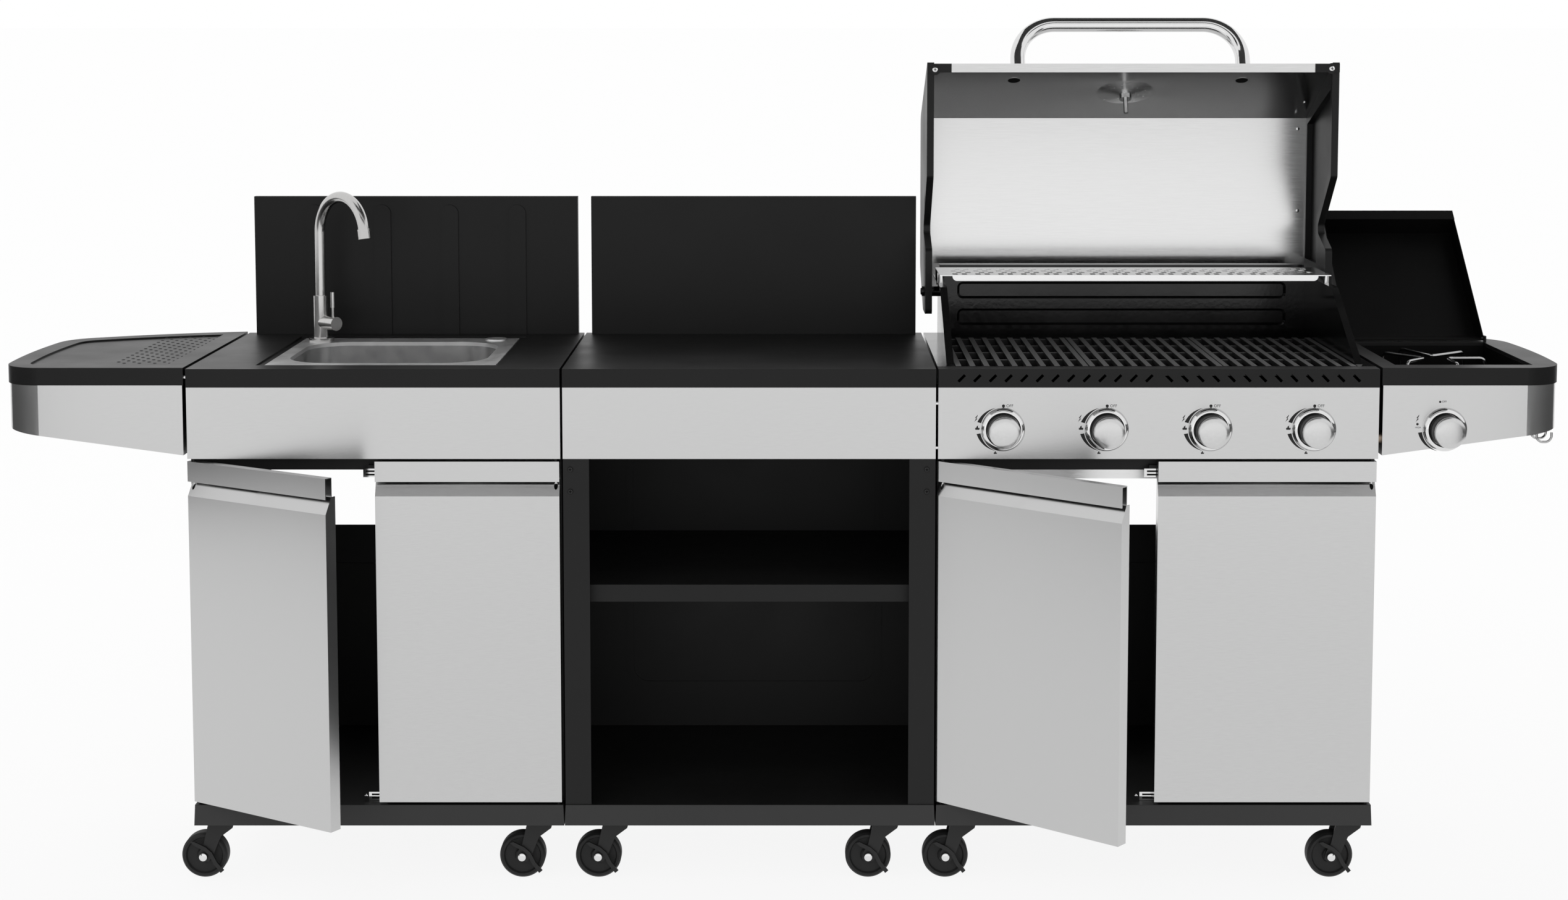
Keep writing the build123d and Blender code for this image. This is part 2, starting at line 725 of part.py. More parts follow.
def tap_spout():
    """Swan-neck spout that turns in the body's socket."""
    start = tap_direction(0, TAP_BODY_H - SPOUT_SOCKET + SEAT)
    bend = tap_direction(0, SPOUT_RISE)

    def on_bend(angle):
        reach = SPOUT_BEND_R * (1 - math.cos(math.radians(angle)))
        rise = SPOUT_RISE + SPOUT_BEND_R * math.sin(math.radians(angle))
        return tap_direction(reach, rise)

    arc = ThreePointArc(bend, on_bend(SPOUT_BEND / 2), on_bend(SPOUT_BEND))
    riser = rod(start, bend, SPOUT_R)
    neck = sweep(Plane(origin=bend, z_dir=(0, 0, 1)) * Circle(SPOUT_R), path=arc)
    tip = Vector(*on_bend(SPOUT_BEND))
    heading = arc % 1
    nozzle = rod(tuple(tip), tuple(tip + heading * NOZZLE_COLLAR_L), NOZZLE_COLLAR_R)
    return riser + neck + nozzle


def tap_lever():
    """Turning end of the tap's valve with its thin lever."""
    near = tap_direction(TAP_VALVE_STUB + SEAT, TAP_VALVE_H)
    far = tap_direction(TAP_VALVE_L, TAP_VALVE_H)
    spindle = rod(tap_direction(TAP_VALVE_STUB - SPINDLE_L, TAP_VALVE_H), near, SPINDLE_R)
    foot = tap_direction(LEVER_AT, TAP_VALVE_H)
    tip = TAP_VALVE_H + TAP_VALVE_R + LEVER_L
    lever = rod(foot, tap_direction(LEVER_AT, tip), LEVER_R)
    grip = rod(tap_direction(LEVER_AT, tip - LEVER_GRIP_L), tap_direction(LEVER_AT, tip), LEVER_GRIP_R)
    return rod(near, far, TAP_VALVE_R) + spindle + lever + grip


def backsplash(left, right, ribs):
    """Upright panel at the rear of a worktop, with raised upright ribs that run out at its foot."""
    y0 = DEPTH - PLATE - SPLASH_D
    panel = front_pan(left, right, y0, SPLASH_D, WORK_H, WORK_H + SPLASH_H)
    face = Plane(origin=((left + right) / 2, y0, WORK_H), x_dir=(1, 0, 0), z_dir=(0, -1, 0))
    for i in range(ribs):
        x = (i - (ribs - 1) / 2) * RIB_PITCH
        rib = Pos(x, (RIB_H - RIB_W / 2) / 2) * Rectangle(RIB_W, RIB_H - RIB_W / 2)
        rib += Pos(x, RIB_H - RIB_W / 2) * Circle(RIB_W / 2)
        panel += extrude(face * rib, RIB_PROUD)
    return panel


# Side tables


def circle_through(a, b, c):
    """Centre and radius of the circle through three points."""
    arc = ThreePointArc(a, b, c)
    return arc.arc_center, arc.radius


def end_wall_corners(base_x, out):
    """Front and rear corner of a side table's bowed end, before they are rounded."""
    reach = TABLE_W - TABLE_BULGE
    return (base_x + out * reach, -OVERHANG), (base_x + out * (reach - OVERHANG), TABLE_END_Y)


def table_face(base_x, out, inset):
    """Plan of a side table: straight at the front, bowed at its end and swept in at the rear."""
    def at(u, y):
        return (base_x + out * u, y)

    front, rear = end_wall_corners(base_x, out)
    inner_rear = at(0, DEPTH)
    run_x, run_y = inner_rear[0] - rear[0], inner_rear[1] - rear[1]
    run = math.hypot(run_x, run_y)
    bow = ((rear[0] + inner_rear[0]) / 2 + out * run_y / run * TABLE_REAR_BULGE,
           (rear[1] + inner_rear[1]) / 2 - out * run_x / run * TABLE_REAR_BULGE)
    y0 = inset - OVERHANG
    face = Pos(*at(inset + TABLE_W, y0 + DEPTH)) * Rectangle(2 * TABLE_W, 2 * DEPTH)
    for points in ((front, at(TABLE_W, (TABLE_END_Y - OVERHANG) / 2), rear), (rear, bow, inner_rear)):
        centre, radius = circle_through(*points)
        face &= Pos(centre) * Circle(radius - inset)
    for corner, radius in ((front, TABLE_FRONT_R), (rear, TABLE_REAR_R)):
        nearest = face.vertices().sort_by_distance(Vector(*corner))[0]
        face = fillet(nearest, radius - inset)
    return face


def raised(face, z0, z1):
    """Solid over a plan face between two heights."""
    return extrude(Pos(0, 0, z0) * face, z1 - z0, dir=(0, 0, 1))


def table_shell(base_x, out):
    """Rim of a side table with a flat top plate, open underneath."""
    hollow = raised(table_face(base_x, out, TABLE_WALL), APRON_TOP, TABLE_TOP_H - TABLE_WALL - TABLE_RECESS)
    return raised(table_face(base_x, out, 0), APRON_TOP, TABLE_TOP_H) - hollow


def left_table():
    """Side table with a recessed field inside its rim."""
    base_x = SINK_X - MODULE_GAP
    field = raised(table_face(base_x, -1, TABLE_RIM), TABLE_TOP_H - TABLE_RECESS, TABLE_TOP_H)
    return table_shell(base_x, -1) - field


def apron(base_x, out):
    """Sheet apron under a side table, whose lower edge rises towards the end."""
    low = APRON_TOP - APRON_H
    ring = raised(table_face(base_x, out, OVERHANG), low, APRON_TOP)
    ring -= raised(table_face(base_x, out, OVERHANG + SHEET), low, APRON_TOP)
    rise = math.tan(math.radians(APRON_RISE)) * TABLE_W
    wedge = [(base_x, low), (base_x + out * TABLE_W, low), (base_x + out * TABLE_W, low + rise)]
    cut = extrude(Plane.XZ.offset(-DEPTH) * polygon(wedge), DEPTH + 2 * OVERHANG)
    return ring - cut


def table_links(x0, x1):
    """Spacers between a side table's apron and the cabinet beside it."""
    z = APRON_TOP - APRON_H / 2
    return [rod((x0, CAB_BACK * share, z), (x1, CAB_BACK * share, z), LINK_R) for share in (0.25, 0.75)]


# Side burner


def pan_box():
    """Plan corners of the side burner's opening."""
    x0 = RIGHT_X + SIDE_LID_IN + PAN_IN
    return x0, x0 + SIDE_LID_W - PAN_IN - PAN_OUT, PAN_FRONT, PAN_REAR


def side_burner_top():
    """Side table frame with an opening for the burner pan and ears for its lid."""
    x0, x1, y0, y1 = pan_box()
    shell = table_shell(RIGHT_X, 1) - block(x0, x1, y0, y1, APRON_TOP, TABLE_TOP_H)
    lid_x0 = RIGHT_X + SIDE_LID_IN
    half = SIDE_LID_HINGE_UP
    for ear_x, inward in ((lid_x0 - SIDE_EAR_T - SEAT, 1), (lid_x0 + SIDE_LID_W + SEAT, -1)):
        shell += block(ear_x, ear_x + SIDE_EAR_T, SIDE_LID_HINGE_Y - half, SIDE_LID_HINGE_Y + half,
                       TABLE_TOP_H, SIDE_HINGE_Z + half)
        start = ear_x if inward > 0 else ear_x + SIDE_EAR_T
        reach = SIDE_EAR_T + SEAT + 3 * SHEET
        shell += rod((start, SIDE_LID_HINGE_Y, SIDE_HINGE_Z),
                     (start + inward * reach, SIDE_LID_HINGE_Y, SIDE_HINGE_Z), SIDE_LID_PIN_R)
    return shell


def side_burner_pan():
    """Deep pan hung under the frame's top plate, with a hole for the burner's throat."""
    x0, x1, y0, y1 = pan_box()
    top = TABLE_TOP_H - TABLE_WALL - TABLE_RECESS
    low = top - PAN_DROP
    pan = block(x0, x1, y0, y1, low, top) - block(x0 + SHEET, x1 - SHEET, y0 + SHEET, y1 - SHEET, low + SHEET, top)
    flange = block(x0 - PAN_FLANGE, x1 + PAN_FLANGE, y0 - PAN_FLANGE, y1 + PAN_FLANGE, top - SHEET, top)
    flange -= block(x0, x1, y0, y1, top - SHEET, top)
    x, y = RIGHT_X + SIDE_BURNER_U, SIDE_BURNER_Y
    throat = rod((x, y, low), (x, y, low + SHEET), SIDE_THROAT_R + SEAT)
    return pan + flange - throat


def side_burner():
    """Ring burner with its throat and mixing tube."""
    x, y = RIGHT_X + SIDE_BURNER_U, SIDE_BURNER_Y
    pan_floor = TABLE_TOP_H - TABLE_WALL - TABLE_RECESS - PAN_DROP + SHEET
    head = rod((x, y, pan_floor), (x, y, pan_floor + SIDE_RING_T), SIDE_RING_R)
    head = fillet(head.edges().filter_by(GeomType.CIRCLE).sort_by(Axis.Z)[-1], 4)
    throat = rod((x, y, KNOB_Z), (x, y, pan_floor), SIDE_THROAT_R)
    tube_end = VALVE_REAR + 4
    tube = rod((SIDE_KNOB_X, tube_end, KNOB_Z), (x, y, KNOB_Z), SIDE_THROAT_R)
    knuckle = Pos(x, y, KNOB_Z) * Sphere(SIDE_THROAT_R)
    nozzle = rod((SIDE_KNOB_X, VALVE_REAR, KNOB_Z), (SIDE_KNOB_X, VALVE_REAR + NOZZLE_L, KNOB_Z), NOZZLE_R + SEAT)
    return head + throat + tube + knuckle - nozzle


def trivet():
    """Wire pan support: bent wires in the form of a V, spread round the burner, with their ends turned down."""
    x, y = RIGHT_X + SIDE_BURNER_U, SIDE_BURNER_Y
    floor = TABLE_TOP_H - TABLE_WALL - TABLE_RECESS - PAN_DROP + SHEET
    top = floor + TRIVET_H

    def at(radius, degrees, z):
        angle = math.radians(degrees)
        return (x + radius * math.cos(angle), y + radius * math.sin(angle), z)

    wires = []
    for i in range(TRIVET_WIRES):
        heading = 90 + 360 / TRIVET_WIRES * i
        left, right = heading + TRIVET_SPREAD, heading - TRIVET_SPREAD
        points = [at(TRIVET_REACH, left, floor), at(TRIVET_REACH, left, top), at(TRIVET_EYE_R, heading, top),
                  at(TRIVET_REACH, right, top), at(TRIVET_REACH, right, floor)]
        wires.append(bent_wire(points, TRIVET_R, TRIVET_BEND_R))
    return wires


def side_lid():
    """Sheet lid of the side burner with a lip in front and a sloped back that stops it when open."""
    x0 = RIGHT_X + SIDE_LID_IN
    x1 = x0 + SIDE_LID_W
    low = SIDE_LID_CLEAR + SHEET - SIDE_LID_HINGE_UP
    high = low + SIDE_LID_D
    tail = SIDE_LID_HINGE_UP - SIDE_LID_CLEAR
    wall = -(SIDE_LID_L - SIDE_LID_LIP)
    crest = tail - high / math.tan(math.radians(180 - SIDE_LID_OPEN))
    line = [(-SIDE_LID_L, low), (wall, low), (wall, high), (crest, high), (tail, 0)]
    side = [(wall, low), (wall, high), (crest, high), (tail, 0), (tail / 2, low)]

    def placed(points):
        return [(SIDE_LID_HINGE_Y + y, SIDE_HINGE_Z + z) for y, z in points]

    lid = folded_x(placed(line), x0, x1, -SHEET)
    lid += along_x(placed(side), x0, x0 + SHEET) + along_x(placed(side), x1 - SHEET, x1)
    hinge = (SIDE_LID_HINGE_Y, SIDE_HINGE_Z)
    lid -= rod((x0, *hinge), (x1, *hinge), SIDE_LID_PIN_R + RUNNING)
    return lid.rotate(Axis((0, *hinge), (1, 0, 0)), -SIDE_LID_OPEN)


def tool_hooks():
    """Bent wire hooks on the inner face of the right apron's end wall, opening outwards below it."""
    front, rear = end_wall_corners(RIGHT_X, 1)
    centre, radius = circle_through(front, (RIGHT_X + TABLE_W, (TABLE_END_Y - OVERHANG) / 2), rear)
    wall_r = radius - OVERHANG - SHEET
    hooks = []
    for i in range(HOOK_COUNT):
        y = HOOK_FRONT + i * HOOK_PITCH
        wall = centre.X + math.sqrt(wall_r ** 2 - (y - centre.Y) ** 2) + SHEET / 3
        inner = wall - HOOK_OFF
        points = [(wall, y, HOOK_TOP), (inner, y, HOOK_TOP), (inner, y, HOOK_BOTTOM),
                  (inner + HOOK_MOUTH, y, HOOK_BOTTOM), (inner + HOOK_MOUTH, y, HOOK_BOTTOM + HOOK_TIP)]
        hooks.append(bent_wire(points, HOOK_R, HOOK_BEND_R))
    return hooks


# Control panel, knobs and gas train


def control_panel():
    """Front panel of the grill with holes for the valve stems."""
    panel = front_pan(GRILL_X, GRILL_X + GRILL_W, 0, FASCIA_D, FASCIA_BOTTOM, FASCIA_TOP)
    for x in KNOB_XS:
        panel -= rod((x, 0, KNOB_Z), (x, SHEET, KNOB_Z), STEM_HOLE_R)
    return panel


def bezel(x):
    """Round plate behind a knob."""
    plate = rod((x, 0, KNOB_Z), (x, -BEZEL_T, KNOB_Z), BEZEL_R)
    plate = chamfer(plate.edges().filter_by(GeomType.CIRCLE).sort_by(Axis.Y)[0], 2)
    return plate - rod((x, 0, KNOB_Z), (x, -BEZEL_T, KNOB_Z), BEZEL_BORE)


def knob(x):
    """Gas knob with a domed face and the valve stem behind it."""
    back = -(BEZEL_T + KNOB_GAP)
    front = back - KNOB_L
    waist = front + 12
    outline = [(0, STEM_REACH), (STEM_R, STEM_REACH), (STEM_R, back), (KNOB_R, back), (KNOB_R, waist),
               (KNOB_FACE_R, waist - 3), (KNOB_FACE_R - 3, front + 3), (KNOB_FACE_R - 9, front), (0, front)]
    face = Plane.XY * polygon(outline)
    return Pos(x, 0, KNOB_Z) * revolve(face, Axis.Y)


def valve(x):
    """Gas valve on the manifold, with a bore for its stem and a nozzle behind."""
    half = VALVE_W / 2
    body = block(x - half, x + half, VALVE_FRONT, VALVE_REAR, KNOB_Z - VALVE_H / 2, KNOB_Z + VALVE_H / 2)
    body -= rod((x, VALVE_FRONT, KNOB_Z), (x, STEM_REACH + 1, KNOB_Z), STEM_R + RUNNING)
    return body + rod((x, VALVE_REAR, KNOB_Z), (x, VALVE_REAR + NOZZLE_L, KNOB_Z), NOZZLE_R)


def gas_manifold():
    """Gas pipe with five valves and a hose inlet at its left end, turned to the rear."""
    y = (VALVE_FRONT + VALVE_REAR) / 2
    x0 = GRILL_X + INLET_IN
    end = y + ELBOW_L
    pipe = rod((x0, y, MANIFOLD_Z), (SIDE_KNOB_X + VALVE_W, y, MANIFOLD_Z), MANIFOLD_R)
    elbow = rod((x0, y, MANIFOLD_Z), (x0, end, MANIFOLD_Z), MANIFOLD_R)
    corner = Pos(x0, y, MANIFOLD_Z) * Sphere(MANIFOLD_R)
    inlet = rod((x0, end, MANIFOLD_Z), (x0, end + INLET_L, MANIFOLD_Z), INLET_R)
    train = pipe + elbow + corner + inlet
    for x in KNOB_XS + [SIDE_KNOB_X]:
        train += valve(x)
    return train


def pipe_hole(x0, x1):
    """Clearance for the gas pipe through the sheets between two places along X."""
    y = (VALVE_FRONT + VALVE_REAR) / 2
    return rod((x0, y, MANIFOLD_Z), (x1, y, MANIFOLD_Z), MANIFOLD_R + SEAT)


# Firebox


def side_plate(hand):
    """Upright side of the firebox, with a flange along its sloped and level top edges."""
    x0 = GRILL_MID + hand * BOX_HALF_W
    x1 = x0 + hand * PLATE
    foot = REAR_LEDGE + PLATE
    outline = [(LEDGE_FRONT, WORK_H - PLATE), (RAIL_TOP_D, WORK_H - PLATE), (RAIL_TOP_D, WORK_H),
               (SLOPE_Y0, WORK_H), (SLOPE_Y1, SIDE_TOP), (BOX_BACK + BACK_FLANGE, SIDE_TOP),
               (BOX_BACK + BACK_FLANGE, FASCIA_TOP), (foot, FASCIA_TOP), (foot, CHUTE_H),
               (BOX_FLOOR_Y, CHUTE_H), (LEDGE_FRONT, LEDGE_Z - PLATE)]
    plate = along_x(outline, min(x0, x1), max(x0, x1))
    edge = [(BOX_BACK, SIDE_TOP), (SLOPE_Y1, SIDE_TOP), (SLOPE_Y0, WORK_H)]
    x2 = x0 + hand * SIDE_FLANGE
    flange = folded_x(edge, min(x0, x2), max(x0, x2), PLATE)
    for y in (RACK_FRONT + PEG_IN, RACK_REAR - PEG_IN):
        x = x0 + hand * SIDE_FLANGE / 2
        flange -= rod((x, y, SIDE_TOP), (x, y, SIDE_TOP - PLATE), PEG_TIP_R + SEAT)
    return plate + flange - peg_relief(hand)


def peg_relief(hand):
    """Room beside the side plate for the warming rack's pegs."""
    x = GRILL_MID + hand * (BOX_HALF_W + SIDE_FLANGE / 2)
    cuts = Part()
    for y in (RACK_FRONT + PEG_IN, RACK_REAR - PEG_IN):
        cuts += rod((x, y, SIDE_TOP), (x, y, SIDE_TOP - PEG_TIP_L - 1), PEG_TIP_R + SEAT)
    return cuts


def side_deck(hand):
    """Strip and skirt between a firebox side plate and the module's side."""
    inner = GRILL_MID + hand * (BOX_HALF_W + PLATE)
    outer = GRILL_MID + hand * GRILL_W / 2
    line = [(inner, WORK_H), (outer, WORK_H), (outer, FASCIA_TOP)]
    face = Plane.XZ.offset(-DEPTH) * polygon(strip(line, -hand * PLATE))
    return extrude(face, DEPTH - RAIL_TOP_D)


def firebox():
    """Grill tub: two side plates, a sloped front, a stepped back with pressed ribs, decks and hinge pins."""
    x0, x1 = GRILL_MID - BOX_HALF_W, GRILL_MID + BOX_HALF_W
    ledge_end = LEDGE_FRONT + LEDGE_D
    front_line = [(LEDGE_FRONT, LEDGE_Z), (ledge_end, LEDGE_Z), (BOX_FLOOR_Y, BOX_FLOOR_H), (CHUTE_Y0, CHUTE_H)]
    front = folded_x(front_line, x0, x1, -PLATE)
    for x in KNOB_XS:
        front -= rod((x, LEDGE_FRONT, KNOB_Z), (x, BOX_FLOOR_Y + LEDGE_D, KNOB_Z), BURNER_R + SEAT)
    rear_line = [(CHUTE_Y1, CHUTE_H), (REAR_LEDGE, BOX_FLOOR_H), (REAR_LEDGE, LEDGE_Z), (BOX_BACK, LEDGE_Z),
                 (BOX_BACK, BACK_TOP), (BOX_BACK + BACK_FLANGE, BACK_TOP)]
    rear = folded_x(rear_line, x0, x1, -PLATE)
    for i in range(2):
        z = WORK_H + BACK_RIB_UP + BACK_RIB_H / 2 + i * BACK_RIB_PITCH
        for y, sign in ((BOX_BACK + PLATE, 1), (BOX_BACK, -1)):
            wall = Plane(origin=(GRILL_MID, y, z), x_dir=(1, 0, 0), z_dir=(0, 1, 0))
            rib = wall * RectangleRounded(BACK_RIB_W, BACK_RIB_H, BACK_RIB_H / 3)
            press = extrude(rib, BACK_RIB_D, dir=(0, 1, 0), taper=BACK_RIB_DRAFT)
            rear = rear + press if sign > 0 else rear - press
    solids = [front, rear]
    for hand in (-1, 1):
        solids += [side_plate(hand), side_deck(hand), hinge_pin(hand)]
    return solids


def hinge_pin(hand):
    """Hood hinge pin with a spacer on the side plate and a domed head outside the hood."""
    def at(half):
        return (GRILL_MID + hand * half, HINGE_Y, HINGE_Z)

    plate = BOX_HALF_W + PLATE
    spacer = rod(at(plate), at(HOOD_HALF_W - CAP_T - SEAT), HINGE_HEAD_R)
    pin = rod(at(plate), at(HOOD_HALF_W + SEAT), HINGE_R)
    head = rod(at(HOOD_HALF_W + SEAT), at(HOOD_HALF_W + SEAT + 4), HINGE_HEAD_R)
    return spacer + pin + head


def firebox_rail():
    """Folded rail across the front of the firebox, with two runs of slanted slots."""
    x0, x1 = GRILL_X, GRILL_X + GRILL_W
    line = [(-OVERHANG, FASCIA_TOP), (-OVERHANG, WORK_H), (RAIL_TOP_D, WORK_H)]
    rail = folded_x(line, x0, x1, -PLATE)
    mid_z = (FASCIA_TOP + WORK_H) / 2
    face = Plane(origin=(GRILL_MID, -OVERHANG, mid_z), x_dir=(1, 0, 0), z_dir=(0, -1, 0))
    slots = Sketch()
    for hand in (-1, 1):
        for i in range(RAIL_SLOTS):
            x = hand * (SLOT_MID + i * SLOT_PITCH)
            slots += Pos(x, 0) * Rot(0, 0, -hand * 45) * Rectangle(SLOT_L, SLOT_W)
    return rail - extrude(face * slots, -PLATE)


def burner_tube(x):
    """Burner tube from its valve to the rear wall."""
    tube = rod((x, BURNER_FRONT, KNOB_Z), (x, REAR_LEDGE - SEAT, KNOB_Z), BURNER_R)
    return tube - rod((x, BURNER_FRONT, KNOB_Z), (x, REAR_LEDGE - SEAT - PLATE, KNOB_Z), BURNER_R - PLATE)


def heat_tent(x):
    """Roof of folded sheet over a burner."""
    half = TENT_W / 2
    slope = (BOX_FLOOR_Y - LEDGE_FRONT - LEDGE_D) / (LEDGE_Z - BOX_FLOOR_H)
    y0 = LEDGE_FRONT + LEDGE_D + slope * (LEDGE_Z - TENT_H + PLATE) + SEAT
    line = [(x - half, TENT_H), (x, TENT_H + TENT_RISE), (x + half, TENT_H)]
    face = Plane.XZ.offset(-y0) * polygon(strip(line, -SHEET))
    return extrude(face, -(REAR_LEDGE - SEAT - y0))


def grate(index):
    """Cast grate section: bars front to back on cross bars."""
    width = (2 * BOX_HALF_W - (GRATE_COUNT + 1) * GRATE_GAP) / GRATE_COUNT
    x0 = GRILL_MID - BOX_HALF_W + GRATE_GAP + index * (width + GRATE_GAP)
    pitch = (width - GRATE_BAR_W) / (GRATE_BARS - 1)
    low = LEDGE_Z + GRATE_CROSS_T
    section = Part()
    for i in range(GRATE_BARS):
        x = x0 + i * pitch
        section += block(x, x + GRATE_BAR_W, GRATE_FRONT, GRATE_REAR, low, WORK_H)
    step = (GRATE_REAR - GRATE_FRONT - GRATE_BAR_W) / (GRATE_CROSS + 1)
    for i in range(GRATE_CROSS + 2):
        y = GRATE_FRONT + i * step
        high = WORK_H - GRATE_CROSS_T / 2
        section += block(x0, x0 + width, y, y + GRATE_BAR_W, LEDGE_Z, high)
    return section


def drip_tray():
    """Tray under the firebox, hung by its side flanges."""
    x0, x1 = GRILL_MID - TRAY_W / 2, GRILL_MID + TRAY_W / 2
    y0, y1 = TRAY_FRONT, TRAY_FRONT + TRAY_L
    tray = block(x0, x1, y0, y1, TRAY_H - TRAY_D, TRAY_H)
    tray -= block(x0 + SHEET, x1 - SHEET, y0 + SHEET, y1 - SHEET, TRAY_H - TRAY_D + SHEET, TRAY_H)
    for edge, hand in ((x0, -1), (x1, 1)):
        far = edge + hand * TRAY_FLANGE
        tray += block(min(edge, far), max(edge, far), y0, y1, TRAY_H - SHEET, TRAY_H)
    return tray


def tray_rail(hand):
    """Angle on the cabinet's side that carries the drip tray."""
    web = GRILL_MID + hand * (GRILL_W / 2 - SHEET)
    high = TRAY_H - SHEET - SEAT
    line = [(web, high - RAIL_DROP), (web, high), (web - hand * TRAY_RAIL_W, high)]
    face = Plane.XZ.offset(-CAB_BACK + REAR_FLANGE) * polygon(strip(line, hand * SHEET))
    return extrude(face, CAB_BACK - REAR_FLANGE - TRAY_FRONT)


def rack_slots():
    """Clusters of staggered slots through the warming rack."""
    pitch = 2 * BOX_HALF_W / (RACK_CLUSTERS + 0.5)
    slots = []
    for row in range(RACK_ROWS):
        y = RACK_FRONT + RACK_ROW_IN + row * RACK_ROW_PITCH
        for cluster in range(RACK_CLUSTERS):
            x = GRILL_MID + (cluster - (RACK_CLUSTERS - 1) / 2) * pitch + (row % 2 - 0.5) * RACK_STAGGER
            for side in (-0.5, 0.5):
                slots.append(Pos(x + side * RACK_SLOT_PITCH, y) * Rectangle(RACK_SLOT_W, RACK_SLOT_L))
    return extrude(Plane.XY.offset(RACK_H - SHEET) * (Sketch() + slots), SHEET)


def warming_rack():
    """Slotted sheet rack with a front lip between rounded corners, standing on four pegs."""
    x0, x1 = GRILL_MID - RACK_HALF_W, GRILL_MID + RACK_HALF_W
    rack = block(x0, x1, RACK_FRONT, RACK_REAR, RACK_H - SHEET, RACK_H) - rack_slots()
    lip = block(x0 + RACK_LIP_IN, x1 - RACK_LIP_IN, RACK_FRONT, RACK_FRONT + SHEET, RACK_H - RACK_LIP, RACK_H)
    corners = lip.edges().filter_by(Axis.Y).sort_by(Axis.Z)[:2]
    rack += fillet(corners, RACK_LIP_R)
    for hand in (-1, 1):
        x = GRILL_MID + hand * (BOX_HALF_W + SIDE_FLANGE / 2)
        for y in (RACK_FRONT + PEG_IN, RACK_REAR - PEG_IN):
            rack += rod((x, y, RACK_H - SHEET), (x, y, SIDE_TOP), PEG_R)
            rack += rod((x, y, SIDE_TOP), (x, y, SIDE_TOP - PEG_TIP_L), PEG_TIP_R)
    return rack


# Hood


def opened(shape):
    """Turn a piece of the closed hood to its open place."""
    return shape.rotate(Axis((0, HINGE_Y, HINGE_Z), (1, 0, 0)), -HOOD_OPEN)


def hood_slope():
    """Unit vector up the hood's front panel and its outward normal, in (y, z)."""
    run, rise = HOOD_TOP_Y0 - HOOD_LIP_Y, HOOD_TOP_Z - HOOD_LIP_Z
    length = math.hypot(run, rise)
    return (run / length, rise / length), (-rise / length, run / length)


def on_hood(x, up, out):
    """Point over the hood's front panel: across, up the panel from its lip, and out from it."""
    (uy, uz), (ny, nz) = hood_slope()
    return (x, HOOD_LIP_Y + uy * up + ny * out, HOOD_LIP_Z + uz * up + nz * out)


def gauge_up():
    """Distance of the thermometer from the lip, halfway up the front panel."""
    return math.hypot(HOOD_TOP_Y0 - HOOD_LIP_Y, HOOD_TOP_Z - HOOD_LIP_Z) / 2


def hood_shell():
    """Hood sheet: lip, sloped front, level top and a short return at the rear."""
    half = HOOD_HALF_W - CAP_T
    line = [(HOOD_LIP_Y + HOOD_LIP, HOOD_LIP_Z), (HOOD_LIP_Y, HOOD_LIP_Z), (HOOD_TOP_Y0, HOOD_TOP_Z),
            (HOOD_TOP_Y1, HOOD_TOP_Z), (HOOD_TOP_Y1 + HOOD_RETURN_Y, HOOD_TOP_Z - HOOD_RETURN_Z)]
    face = Plane.YZ.offset(GRILL_MID - half) * polygon(strip(line, -SHEET))
    shell = extrude(face, 2 * half)
    hole = rod(on_hood(GRILL_MID, gauge_up(), 1), on_hood(GRILL_MID, gauge_up(), -4), GAUGE_STEM_R + SEAT)
    return opened(shell - hole)


def cap_outline():
    """Outline of a hood end cap in (y, z), a little proud of the sheet."""
    p = CAP_PROUD
    return [(HOOD_LIP_Y - p, HOOD_LIP_Z), (NOTCH_Y0, HOOD_LIP_Z), (NOTCH_Y1, NOTCH_TOP), (NOTCH_Y2, NOTCH_TOP),
            (NOTCH_Y3, FOOT_Z), (FOOT_REAR, FOOT_Z), (FOOT_REAR, FOOT_SHOULDER_Z),
            (HOOD_TOP_Y1 + p, HOOD_TOP_Z + p), (HOOD_TOP_Y0 - p, HOOD_TOP_Z + p)]


